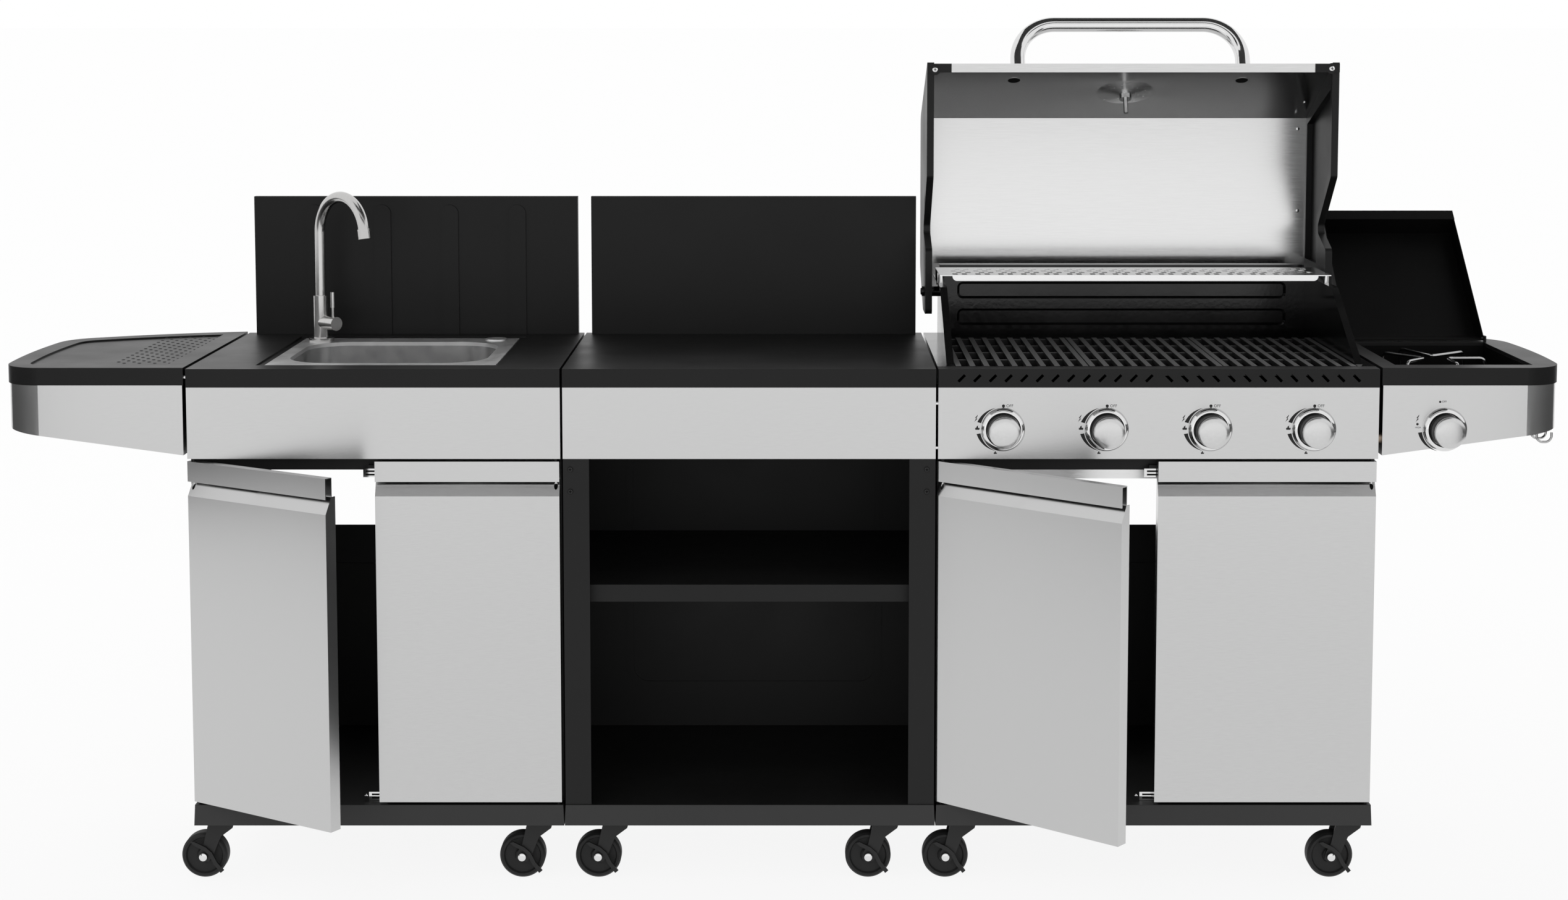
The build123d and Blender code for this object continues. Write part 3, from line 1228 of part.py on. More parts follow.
def end_cap(hand):
    """Cast end of the hood: a thin wall inside a deep rim, with a corner tab on the lip."""
    outer = GRILL_MID + hand * HOOD_HALF_W
    inner = outer - hand * CAP_T
    face = polygon(cap_outline())
    corners = face.vertices()
    top = [v for v in corners if v.Y > NOTCH_TOP + CAP_FILLET * 2]
    face = fillet(top, HOOD_CORNER_R)
    low = [v for v in face.vertices() if v.X > NOTCH_Y0 - 1 and v.Y < FOOT_SHOULDER_Z - 1]
    face = fillet(low, CAP_FILLET)
    x0 = min(outer, inner)
    cap = extrude(Plane.YZ.offset(x0) * face, CAP_T)
    pocket = [(HOOD_LIP_Y + 4 * CAP_RIM, HOOD_LIP_Z + CAP_RIM), (NOTCH_Y0 - CAP_RIM, HOOD_LIP_Z + CAP_RIM),
              (NOTCH_Y1 - CAP_RIM, NOTCH_TOP + CAP_RIM), (HOOD_TOP_Y1 - CAP_RIM, NOTCH_TOP + CAP_RIM),
              (HOOD_TOP_Y1 - CAP_RIM, HOOD_TOP_Z - CAP_RIM), (HOOD_TOP_Y0 + CAP_RIM, HOOD_TOP_Z - CAP_RIM)]
    wall = outer - hand * CAP_WALL
    cap -= along_x(pocket, min(wall, inner), max(wall, inner))
    cap -= rod((inner, HINGE_Y, HINGE_Z), (outer, HINGE_Y, HINGE_Z), HINGE_R + RUNNING)
    tab_end = inner - hand * TAB_L
    cap += block(min(inner, tab_end), max(inner, tab_end), HOOD_LIP_Y, HOOD_LIP_Y + HOOD_LIP,
                 HOOD_LIP_Z - PLATE, HOOD_LIP_Z)
    cap += block(min(inner, outer), max(inner, outer), HOOD_LIP_Y, HOOD_LIP_Y + HOOD_LIP,
                 HOOD_LIP_Z - PLATE, HOOD_LIP_Z)
    return opened(cap)


def hood_handle():
    """Bent tube handle across the hood's front panel."""
    half = HANDLE_W / 2
    points = [on_hood(GRILL_MID - half, HANDLE_UP, 0), on_hood(GRILL_MID - half, HANDLE_UP, HANDLE_OFF),
              on_hood(GRILL_MID + half, HANDLE_UP, HANDLE_OFF), on_hood(GRILL_MID + half, HANDLE_UP, 0)]
    return opened(bent_tube(points, HANDLE_R, HANDLE_BEND_R))


def thermometer():
    """Dial on the hood's front with its stem, nut and dished washer inside."""
    up = gauge_up()
    case = rod(on_hood(GRILL_MID, up, 0), on_hood(GRILL_MID, up, GAUGE_T), GAUGE_R)
    rims = case.edges().filter_by(GeomType.CIRCLE)
    case = chamfer(rims.sort_by_distance(Vector(*on_hood(GRILL_MID, up, 2 * GAUGE_R)))[0], 4)
    stem = rod(on_hood(GRILL_MID, up, 0), on_hood(GRILL_MID, up, -GAUGE_STEM_L), GAUGE_STEM_R)
    (uy, uz), (ny, nz) = hood_slope()
    seat = Plane(origin=on_hood(GRILL_MID, up, -SHEET), x_dir=(1, 0, 0), z_dir=(0, -ny, -nz))
    dish = seat * Pos(0, 0, GAUGE_DISH_T / 2) * Cone(GAUGE_DISH_R, GAUGE_NUT_R, GAUGE_DISH_T)
    nut = seat * Pos(0, 0, GAUGE_DISH_T + 4) * Cylinder(GAUGE_NUT_R, 8)
    return opened(case + stem + dish + nut)


# Assembly


def build_cabinets():
    """Cabinets with the pins, catches, links and rails that are fixed to them."""
    sink = cabinet(SINK_X, SINK_W, SINK_CASTERS_IN, HALF_BACK_H, False)
    shelf = cabinet(SHELF_X, SHELF_W, SHELF_CASTERS_IN, FASCIA_TOP - BASE_TOP - REAR_RAIL_H, True)
    grill = cabinet(GRILL_X, GRILL_W, GRILL_CASTERS_IN, HALF_BACK_H, False)
    for solids, x0, width in ((sink, SINK_X, SINK_W), (grill, GRILL_X, GRILL_W)):
        left, right = door_edges(x0, width)
        solids += door_pins(left + PIVOT_IN) + door_pins(right - PIVOT_IN)
        solids += door_catches(x0 + width / 2)
    sink += module_links(SINK_X + SINK_W) + table_links(SINK_X - MODULE_GAP - OVERHANG, SINK_X)
    shelf += module_links(SHELF_X + SHELF_W)
    grill += [tray_rail(-1), tray_rail(1)] + table_links(GRILL_X + GRILL_W, RIGHT_X + OVERHANG)
    hole = pipe_hole(GRILL_X + GRILL_W - 2 * SHEET, RIGHT_X)
    node("sink_cabinet", *sink)
    node("shelf_cabinet", *shelf)
    node("grill_cabinet", *[solid - hole for solid in grill])
    y1 = CAB_BACK - 2 * SHEET - PLATE
    top = BASE_TOP + SHELF_H
    board = block(SHELF_X + SHEET, SHELF_X + SHELF_W - SHEET, FASCIA_D, y1, top - SHELF_T, top)
    board -= block(SHELF_X + 2 * SHEET, SHELF_X + SHELF_W - 2 * SHEET, FASCIA_D + SHEET, y1 - SHEET,
                   top - SHELF_T, top - SHEET)
    node("shelf_board", board)


def build_fronts():
    """Fascia panels, control panel and doors."""
    blanks = [front_pan(x0, x0 + width, 0, FASCIA_D, FASCIA_BOTTOM, FASCIA_TOP)
              for x0, width in ((SINK_X, SINK_W), (SHELF_X, SHELF_W))]
    node("blank_fascias", *blanks)
    node("control_panel", control_panel())
    for name, x0, width, ajar in (("sink", SINK_X, SINK_W, SINK_DOOR_AJAR),
                                  ("grill", GRILL_X, GRILL_W, GRILL_DOOR_AJAR)):
        left, right = door_edges(x0, width)
        node(name + "_door_left", door(left, 1, door_width(width), ajar))
        node(name + "_door_right", door(right, -1, door_width(width), 0))


def build_tops():
    """Worktops, backsplashes, sink, tap and side tables."""
    node("worktops", sink_worktop(), worktop(SHELF_X, SHELF_W))
    sink_splash = backsplash(SINK_X + SINK_SPLASH_IN[0], SINK_X + SINK_W - SINK_SPLASH_IN[1], RIB_COUNT)
    node("backsplashes", sink_splash, backsplash(SHELF_X + SPLASH_IN, SHELF_X + SHELF_W - SPLASH_IN, 0))
    node("sink_bowl", *sink_bowl())
    node("tap_body", tap_body())
    node("tap_spout", tap_spout())
    node("tap_lever", tap_lever())
    node("left_table_top", left_table())
    hole = pipe_hole(RIGHT_X, RIGHT_X + 3 * OVERHANG)
    stem = rod((SIDE_KNOB_X, 0, KNOB_Z), (SIDE_KNOB_X, SHEET, KNOB_Z), STEM_HOLE_R)
    hooks = tool_hooks()
    node("side_aprons", apron(SINK_X - MODULE_GAP, -1), apron(RIGHT_X, 1) - hole - stem - hooks)
    node("side_burner_top", side_burner_top())
    node("side_burner_pan", side_burner_pan())
    node("side_burner", side_burner())
    node("side_burner_trivet", *trivet())
    node("side_burner_lid", side_lid())
    node("tool_hooks", *hooks)


def build_grill():
    """Firebox, gas train, grates, rack and hood."""
    node("firebox", *firebox())
    node("firebox_front_rail", firebox_rail())
    node("burners", *[burner_tube(x) for x in KNOB_XS])
    node("heat_tents", *[heat_tent(x) for x in KNOB_XS])
    node("gas_manifold", gas_manifold())
    node("cooking_grates", *[grate(i) for i in range(GRATE_COUNT)])
    node("drip_tray", drip_tray())
    node("warming_rack", warming_rack())
    node("hood_shell", hood_shell())
    node("hood_end_caps", end_cap(-1), end_cap(1))
    node("hood_handle", hood_handle())
    node("thermometer", thermometer())
    node("knob_bezels", *[bezel(x) for x in KNOB_XS + [SIDE_KNOB_X]])
    for i, x in enumerate(KNOB_XS):
        node(f"burner_knob_{i + 1}", knob(x))
    node("side_burner_knob", knob(SIDE_KNOB_X))


def build_casters():
    """Turning forks and wheels of the casters."""
    shown = wheel(True)
    plain = Rot(0, 0, 90) * wheel(False)
    for name, x0, width, insets in (("sink", SINK_X, SINK_W, SINK_CASTERS_IN),
                                    ("shelf", SHELF_X, SHELF_W, SHELF_CASTERS_IN),
                                    ("grill", GRILL_X, GRILL_W, GRILL_CASTERS_IN)):
        for side, x in zip(("left", "right"), caster_places(x0, width, insets)):
            axle = Pos(x - TRAIL, CASTER_BACK, WHEEL_R)
            node(f"{name}_caster_fork_{side}", swivel_fork(x), axle * brake_pedal())
            node(f"{name}_front_wheel_{side}", axle * shown)
            node(f"{name}_rear_wheel_{side}", Pos(x, DEPTH - CASTER_BACK - TRAIL, WHEEL_R) * plain)


build_cabinets()
build_fronts()
build_tops()
build_grill()
build_casters()

os.makedirs("parts", exist_ok=True)
for name, shape in NODES.items():
    export_step(Pos(0, -MID_DEPTH, 0) * shape, f"parts/{name}.step")
print(len(NODES), "nodes")
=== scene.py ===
"""Outdoor kitchen with a gas barbecue grill: finishes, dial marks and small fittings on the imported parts."""
import math

import bmesh
import bpy
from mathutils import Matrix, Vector

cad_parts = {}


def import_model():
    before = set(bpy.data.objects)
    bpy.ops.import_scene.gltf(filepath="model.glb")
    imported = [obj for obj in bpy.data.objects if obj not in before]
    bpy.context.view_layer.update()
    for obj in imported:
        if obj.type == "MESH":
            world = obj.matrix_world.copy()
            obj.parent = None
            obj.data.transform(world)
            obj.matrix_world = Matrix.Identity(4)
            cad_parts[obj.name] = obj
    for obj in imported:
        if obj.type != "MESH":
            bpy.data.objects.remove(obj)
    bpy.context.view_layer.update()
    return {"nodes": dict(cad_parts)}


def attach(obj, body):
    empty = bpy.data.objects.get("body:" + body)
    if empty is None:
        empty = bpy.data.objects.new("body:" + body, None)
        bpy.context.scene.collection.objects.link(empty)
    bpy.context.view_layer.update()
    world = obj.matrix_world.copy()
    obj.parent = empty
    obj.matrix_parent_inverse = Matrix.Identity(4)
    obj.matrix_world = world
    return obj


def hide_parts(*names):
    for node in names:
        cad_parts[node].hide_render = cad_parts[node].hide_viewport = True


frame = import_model()
nodes = frame["nodes"]

# Sizes and places in millimetres: X to the right, Y back from the front faces, Z up from the floor
MM = 0.001
MID_DEPTH = 172.46
FRONT = Vector((0, -1, 0))
UP = Vector((0, 0, 1))
RIGHT = Vector((1, 0, 0))

# Faces that meet at less than this angle, in degrees, are shaded as one curve
SMOOTH_BELOW = 35

# Knobs and the marks round them
KNOB_XS = (354.1, 520.7, 687.3, 853.9)
SIDE_KNOB_X = 1064
KNOB_Z = 752
KNOB_TEETH = 72
TOOTH_H = 0.4
TOOTH_STEPS = 4
TURNED_STEPS = 96
BEZEL_PROFILE = ((35.5, 0), (35.4, 2), (34.5, 4.8), (32.6, 7.2), (30.2, 8.6), (28.3, 8.7), (26.9, 7.8),
                 (26.3, 6), (26.2, 0.3))
SKIRT_PROFILE = ((0, 0.9), (25.7, 0.9), (25.7, 8.5), (25, 9.3), (25, 10.5))
GRIP_PROFILE = ((25, 10.5), (25.3, 11.5), (25.3, 32), (24.9, 33))
DOME_PROFILE = ((24.9, 33), (25.2, 33.4), (25.2, 36.4), (24.5, 38.2), (22.6, 39.4), (18, 40.1), (9, 40.6),
                (0, 40.8))
MARK_T = 0.15
MARK_IN = 36.6
MARK_OUT = 43
MARK_TIP = 0.1
MARK_STEPS = 16
DOT_STEPS = 20
UPPER_ARC = (110, 164)
LOWER_ARC = (190, 250)
SIDE_ARC = (187, 252)
FLAME = ((-3.4, -3.2), (2.8, -3.2), (3.6, -1.6), (2.6, 0.6), (1.6, -0.8), (0.6, 1.4), (1.2, 3.9), (-1.4, 2.2),
         (-2.2, -0.4), (-3.2, 0.4), (-4, -1.6))
SPARK = ((2.7, 5.8), (-1.6, 0.6), (0.4, 0.2), (-2.7, -5.8), (2, -1), (-0.2, -0.4), (2.7, 4.2))

# Marks and words by their place from a knob's middle, with the radius, scale or letter height last
OFF_DOT = (0.5, 38, 2.5)
SPARK_AT = (-43.5, 18)
FLAME_AT = (-41, 2.6)
SMALL_FLAME = (-12, -37.5, 0.7)
OFF_WORD = (5, 38, 4.5)
SIDE_OFF_DOT = (-8.3, 44.7, 1.8)
SIDE_SPARK_AT = (-44.2, 18)
SIDE_HIGH_DOT = (-44, 8.5, 2)
SIDE_OFF_WORD = (-5.3, 44.9, 3)
SIDE_HIGH_WORD = (-47.5, 3, 2.6)
CAPITAL_SHARE = 0.7

# Left side table
TABLE_EDGE_X = -962
TABLE_FIELD_Z = 849
DIMPLE_PROFILE = ((3.4, 0), (2.72, 0.6), (1.36, 0.95), (0, 1))
DIMPLE_ROWS = 25
DIMPLE_COLUMNS = 4
DIMPLE_PITCH = (25, 14)
DIMPLE_START = (39.6, 75)

# Hood, as it stands open
HOOD_INNER = Vector((0, -0.427, -0.904))
TAB_SCREWS = ((261.4, 343, 1322.5), (946.2, 343, 1324.5))
HANDLE_BOLTS = ((403.3, 405.1, 1303), (802, 405.1, 1303))
SEAM_SCREWS = ((933, 557.5, 1211.6), (935, 557.5, 1062.9))
CORNER_SCREW = (931, 492.1, 1261.9)
TAB_SCREW_R = 4.6
TAB_SCREW_RISE = 0.5
SEAM_SCREW_R = 3.2
CORNER_SCREW_R = 3
WASHER_T = 0.5
WASHER_PROFILE = ((9.5, 0), (9.5, 0.3), (8.8, WASHER_T), (0, WASHER_T))
HOLE_RING_PROFILE = ((11.5, 0), (11.5, 0.3), (10.8, 0.3))
# The bolt holes' open ends are flat discs of painted shade inside a steel ring
HOLE_PROFILE = ((10.8, 0.2), (0, 0.2))
HINGE = (604, 420, 930)
HINGE_HALF = 356
HINGE_BOLT_PROFILE = ((9, 0), (9, 1.4), (6.5, 1.6), (6.3, 5), (5, 6), (0, 6.2))

# Thermometer
GAUGE_FACE = (604, 459.68, 1298.78)
GAUGE_OUT = Vector((0, 0.427, 0.904))
GAUGE_DIAL_R = 35
GAUGE_DIAL_FOOT = 0.05
GAUGE_DIAL_T = 0.15
GAUGE_TICKS = 25
GAUGE_START = 225
GAUGE_SWEEP = 270
LONG_TICK = (6, 1.1)
SHORT_TICK = (3.4, 0.6)
LONG_TICK_EVERY = 4
TICK_IN = 5
TICK_T = 0.1
NEEDLE = ((-8, -1.4), (25, -0.4), (25, 0.4), (-8, 1.4))
NEEDLE_T = 0.3
NEEDLE_HUB_PROFILE = ((3.5, 0), (3.5, 1), (0, 1.3))

# Cabinets and casters
BASE_TOP = 133.5
POST_SCREWS = ((-342.2, 2, 686.6), (-342.2, 2, 650.6), (232.1, 2, 686.6), (232.1, 2, 650.6))
POST_SCREW_R = 4.4
DOOR_MIDS = (-658, 604)
CATCH_PLACES = ((-5, 15.5, 678.5), (-5, 23, 141.5))
CATCH_SIZE = (30, 14)
CATCH_T = 0.4
KEEPER_SIZE = (21, 2.8)
KEEPER_UP = 2.8
KEEPER_T = 0.1
CATCH_SCREW = (-25, 26, 141)
CATCH_SCREW_R = 3
STUDS = ((248, 4, 794), (248, 4, 722), (-960, 4, 836))
STUD_R = 3
STUD_L = 3.8
HUB_PROFILE = ((6.4, 0), (6.4, 0.5), (5, 1.3), (2.5, 1.7), (0, 1.8))

# Sink
BOWL_TOP = 842
SINK_WASTE = (-655, 215, 698.5)
STRAINER_PLATE_H = 0.6
STRAINER_PROFILE = ((42, 0), (42, 1), (40, 2), (33, 1.6), (31, STRAINER_PLATE_H), (0, STRAINER_PLATE_H))
STRAINER_HOLES = ((1, 0), (6, 10), (12, 20))
# The strainer's holes are flat discs of painted shade on the plate
STRAINER_HOLE_PROFILE = ((3, 0), (3, 0.15), (0, 0.15))

# Wire support of the side burner: each wire's eye and two feet, by their angle and distance from the burner
TRIVET_AT = (1094, 190)
TRIVET_FLOOR = 782
TRIVET_TOP = 843
TRIVET_R = 2.7
TRIVET_BEND = 10
TRIVET_VEES = (((90, 18), (104, 118), (47, 100)), ((210, 22), (138, 96), (223, 80)),
               ((330, 22), (-7, 83), (-78, 85)))

# Screw heads, as shares of their radius
SCREW_PROFILE = ((1, 0), (1, 0.25), (0.85, 0.5), (0.5, 0.64), (0, 0.68))
# The cross recess is drawn as a thin raised cross in the slot's finish, which is painted shade wherever a
# screw is used
SCREW_SLOT_UP = 0.62
SCREW_SLOT = (1.1, 0.26)
SCREW_SLOT_T = 0.08

# Studio: a soft box in front, with its size in metres, and black cards out of view, given by their corners
FRONT_BOX = (0, -5300, 500)
FRONT_BOX_SIZE = (6, 0.9)
FRONT_BOX_WATTS = 4
SIDE_CARD = ((-1750, 100), (-900, 330), (-400, 480), (600, 500), (600, 900), (-400, 860), (-1750, 800))
FRONT_CARD = ((-1300, -2300), (1700, -2300), (1700, -1350), (-1300, -1350))
TOP_CARD = ((-1300, -900), (1700, -900), (1700, 1200), (-200, 1200), (-200, -100), (-1300, -100))
SIDE_CARD_X = 1850
TOP_CARD_Z = 2600
SIDE_CARD_TONE = 0.14
TOP_CARD_TONE = 0.06
FLOOR_TONE = 0.9
FLOOR_GLOW = 0.9
FLOOR_HALF_M = 3000

# Camera
CAMERA_AT = (21, -3910, 1396)
CAMERA_DIP = 5.09
CAMERA_LENS = 56.45
CAMERA_SENSOR = 36
CAMERA_REACH_M = 5000
CAMERA_SHIFT = (-0.0075, -0.13)


def at(x, y, z):
    """Point of the object, given in millimetres, as a point of the scene."""
    return Vector((x, y - MID_DEPTH, z)) * MM


# Materials

GRAIN_SPREAD = 0.15
GRAIN_DEPTH = 0.03
GRAIN_STRENGTH = 0.08
CLOUDS = (9, 9, 9)
CLOUD_SPREAD = 0.15
CLOUD_ROUGHNESS = 0.04
SKIN_STRENGTH = 0.5
FIELD_LOW = 0.3
FIELD_HIGH = 0.7
LOOKS_UP = 0.7


def shader(name, colour, metallic=0.0, roughness=0.5, **sockets):
    """New material with one Principled shader, and that shader."""
    mat = bpy.data.materials.new(name)
    mat.use_nodes = True
    bsdf = mat.node_tree.nodes["Principled BSDF"]
    bsdf.inputs["Base Color"].default_value = (*colour, 1)
    bsdf.inputs["Metallic"].default_value = metallic
    bsdf.inputs["Roughness"].default_value = roughness
    for socket, value in sockets.items():
        bsdf.inputs[socket.replace("_", " ")].default_value = value
    mat.diffuse_color = (*colour, 1)
    return mat, bsdf


def noise(mat, scale, detail=3.0, rough=0.55):
    """Noise in object space with its own scale along each axis, per metre."""
    tree = mat.node_tree
    place = tree.nodes.new("ShaderNodeTexCoord")
    mapping = tree.nodes.new("ShaderNodeMapping")
    mapping.inputs["Scale"].default_value = scale
    tree.links.new(place.outputs["Object"], mapping.inputs["Vector"])
    field = tree.nodes.new("ShaderNodeTexNoise")
    field.inputs["Scale"].default_value = 1
    field.inputs["Detail"].default_value = detail
    field.inputs["Roughness"].default_value = rough
    tree.links.new(mapping.outputs["Vector"], field.inputs["Vector"])
    return field.outputs["Fac"]


def tint(mat, bsdf, field, dark, light):
    """Let a field run the base colour between two colours."""
    ramp = mat.node_tree.nodes.new("ShaderNodeValToRGB")
    ramp.color_ramp.elements[0].position = FIELD_LOW
    ramp.color_ramp.elements[1].position = FIELD_HIGH
    ramp.color_ramp.elements[0].color = (*dark, 1)
    ramp.color_ramp.elements[1].color = (*light, 1)
    mat.node_tree.links.new(field, ramp.inputs["Fac"])
    mat.node_tree.links.new(ramp.outputs["Color"], bsdf.inputs["Base Color"])


def polish(mat, bsdf, field, low, high):
    """Let a field run the roughness between two values."""
    span = mat.node_tree.nodes.new("ShaderNodeMapRange")
    span.inputs["From Min"].default_value = FIELD_LOW
    span.inputs["From Max"].default_value = FIELD_HIGH
    span.inputs["To Min"].default_value = low
    span.inputs["To Max"].default_value = high
    mat.node_tree.links.new(field, span.inputs["Value"])
    mat.node_tree.links.new(span.outputs["Result"], bsdf.inputs["Roughness"])


def emboss(mat, bsdf, field, depth, strength):
    """Raise the surface by a field; depth is in millimetres."""
    bump = mat.node_tree.nodes.new("ShaderNodeBump")
    bump.inputs["Distance"].default_value = depth * MM
    bump.inputs["Strength"].default_value = strength
    mat.node_tree.links.new(field, bump.inputs["Height"])
    mat.node_tree.links.new(bump.outputs["Normal"], bsdf.inputs["Normal"])


def grey(level):
    """Neutral colour."""
    return (level, level, level)


def brushed(name, tone, roughness, grain, contrast=0.05, warm=1.0, **sockets):
    """Sheet metal with a brushed grain; grain is the noise scale along X, Y and Z."""
    colour = (tone * warm, tone, tone / warm)
    mat, bsdf = shader(name, colour, 1, roughness, **sockets)
    streaks = noise(mat, grain, 5, 0.6)
    tint(mat, bsdf, streaks, [c * (1 - contrast) for c in colour], [c * (1 + contrast) for c in colour])
    polish(mat, bsdf, streaks, roughness * (1 - GRAIN_SPREAD), roughness * (1 + GRAIN_SPREAD))
    emboss(mat, bsdf, streaks, GRAIN_DEPTH, GRAIN_STRENGTH)
    return mat


def coated(name, level, roughness, grain_mm, depth, specular=0.5):
    """Baked paint with a fine orange-peel skin and slight unevenness of tone."""
    mat, bsdf = shader(name, grey(level), 0, roughness, Specular_IOR_Level=specular)
    clouds = noise(mat, CLOUDS, 4)
    tint(mat, bsdf, clouds, grey(level * (1 - CLOUD_SPREAD)), grey(level * (1 + CLOUD_SPREAD)))
    polish(mat, bsdf, clouds, roughness - CLOUD_ROUGHNESS, roughness + CLOUD_ROUGHNESS)
    skin = noise(mat, (1 / (grain_mm * MM),) * 3, 2, 0.5)
    emboss(mat, bsdf, skin, depth, SKIN_STRENGTH)
    return mat


def above(tree, height):
    """One above a height, and nought below it."""
    place = tree.nodes.new("ShaderNodeTexCoord")
    split = tree.nodes.new("ShaderNodeSeparateXYZ")
    tree.links.new(place.outputs["Object"], split.inputs[0])
    higher = tree.nodes.new("ShaderNodeMath")
    higher.operation = "GREATER_THAN"
    higher.inputs[1].default_value = height * MM
    tree.links.new(split.outputs["Z"], higher.inputs[0])
    return higher.outputs[0]


def paler_below(mat, height, level):
    """Give a coat a paler tone below a height."""
    tree = mat.node_tree
    bsdf = tree.nodes["Principled BSDF"]
    upper = bsdf.inputs["Base Color"].links[0].from_socket
    blend = tree.nodes.new("ShaderNodeMixRGB")
    blend.inputs["Color1"].default_value = (*grey(level), 1)
    tree.links.new(above(tree, height), blend.inputs["Fac"])
    tree.links.new(upper, blend.inputs["Color2"])
    tree.links.new(blend.outputs["Color"], bsdf.inputs["Base Color"])


def smoother_below(mat, height, share):
    """Bring a metal's roughness down to a share of itself below a height."""
    tree = mat.node_tree
    bsdf = tree.nodes["Principled BSDF"]
    upper = bsdf.inputs["Roughness"].links[0].from_socket
    scale = tree.nodes.new("ShaderNodeMapRange")
    scale.inputs["To Min"].default_value = share
    tree.links.new(above(tree, height), scale.inputs["Value"])
    product = tree.nodes.new("ShaderNodeMath")
    product.operation = "MULTIPLY"
    tree.links.new(upper, product.inputs[0])
    tree.links.new(scale.outputs["Result"], product.inputs[1])
    tree.links.new(product.outputs[0], bsdf.inputs["Roughness"])


def paint_light_on_top(mat, level):
    """Paint light on a coat: the faces that look up get a paler tone, a painted highlight standing in for
    light from above.
    """
    tree = mat.node_tree
    bsdf = tree.nodes["Principled BSDF"]
    sides = bsdf.inputs["Base Color"].links[0].from_socket
    surface = tree.nodes.new("ShaderNodeNewGeometry")
    split = tree.nodes.new("ShaderNodeSeparateXYZ")
    tree.links.new(surface.outputs["Normal"], split.inputs[0])
    upward = tree.nodes.new("ShaderNodeMath")
    upward.operation = "GREATER_THAN"
    upward.inputs[1].default_value = LOOKS_UP
    tree.links.new(split.outputs["Z"], upward.inputs[0])
    blend = tree.nodes.new("ShaderNodeMixRGB")
    blend.inputs["Color2"].default_value = (*grey(level), 1)
    tree.links.new(upward.outputs[0], blend.inputs["Fac"])
    tree.links.new(sides, blend.inputs["Color1"])
    tree.links.new(blend.outputs["Color"], bsdf.inputs["Base Color"])


# Bare metals: tone, roughness, grain and contrast
STEEL = brushed("brushed_steel", 0.57, 0.22, (60, 2500, 2500), 0.035, Anisotropic=0.7,
                Anisotropic_Rotation=0.25)
HOOD_STEEL = brushed("hood_steel", 0.66, 0.18, (30, 900, 900), 0.04, Anisotropic=0.7)
SINK_STEEL = brushed("sink_steel", 0.72, 0.43, (40, 40, 40), 0.015)
smoother_below(SINK_STEEL, BOWL_TOP, 0.55)
TAP_STEEL = brushed("tap_steel", 0.55, 0.2, (300, 300, 40), 0.03, 1.01)
CHROME = brushed("chrome", 0.74, 0.07, (150, 150, 150), 0.02)
SPUN_STEEL = brushed("spun_steel", 0.62, 0.24, (200, 200, 200), 0.03)
RACK_STEEL = brushed("rack_steel", 0.75, 0.22, (30, 160, 160))
WIRE_STEEL = brushed("wire_steel", 0.45, 0.18, (150, 150, 150), 0.02)
DARK_STEEL = brushed("dark_steel", 0.16, 0.35, (90, 90, 90), 0.06)
BRASS = brushed("gas_brass", 0.5, 0.3, (90, 90, 90), 0.06, 1.25)

# Coats, castings and mouldings: tone, roughness, size and depth of the skin's grain in millimetres, and gloss
BLACK_COAT = coated("black_enamel", 0.009, 0.4, 1.6, 0.04, 0.22)
SPLASH_COAT = coated("splash_enamel", 0.008, 0.42, 1.6, 0.04, 0.22)
LID_COAT = coated("lid_enamel", 0.004, 0.5, 1.6, 0.04, 0.08)
CABINET_COAT = coated("cabinet_coat", 0.011, 0.5, 1.2, 0.05, 0.25)
paler_below(CABINET_COAT, BASE_TOP, 0.045)
CASTER_COAT = coated("caster_coat", 0.014, 0.45, 1.5, 0.05, 0.35)
PORCELAIN = coated("porcelain_enamel", 0.004, 0.16, 7, 0.2, 0.4)
IRON = coated("cast_iron", 0.012, 0.42, 1.3, 0.15, 0.4)
# Painted light: the grates' upward faces are paler, standing in for light falling from above
paint_light_on_top(IRON, 0.13)
RUBBER = coated("wheel_rubber", 0.018, 0.6, 1.1, 0.08, 0.3)
BLACK_PLASTIC = coated("knob_plastic", 0.01, 0.35, 0.8, 0.03, 0.4)
PRINT_BLACK = coated("print_black", 0.014, 0.5, 0.6, 0.01, 0.3)
# Painted shade: a near-black coat for flat marks drawn where holes, slots and screw recesses are, in place of
# their dark depth
PAINTED_HOLE_SHADE = coated("painted_hole_shade", 0.004, 0.8, 1, 0.01, 0.1)
DIAL_WHITE = coated("dial_white", 0.75, 0.45, 1, 0.01, 0.3)
NEEDLE_RED, needle_skin = shader("needle_red", (0.5, 0.02, 0.015), 0, 0.4)
tint(NEEDLE_RED, needle_skin, noise(NEEDLE_RED, (300, 300, 300)), (0.44, 0.017, 0.013), (0.56, 0.023, 0.017))

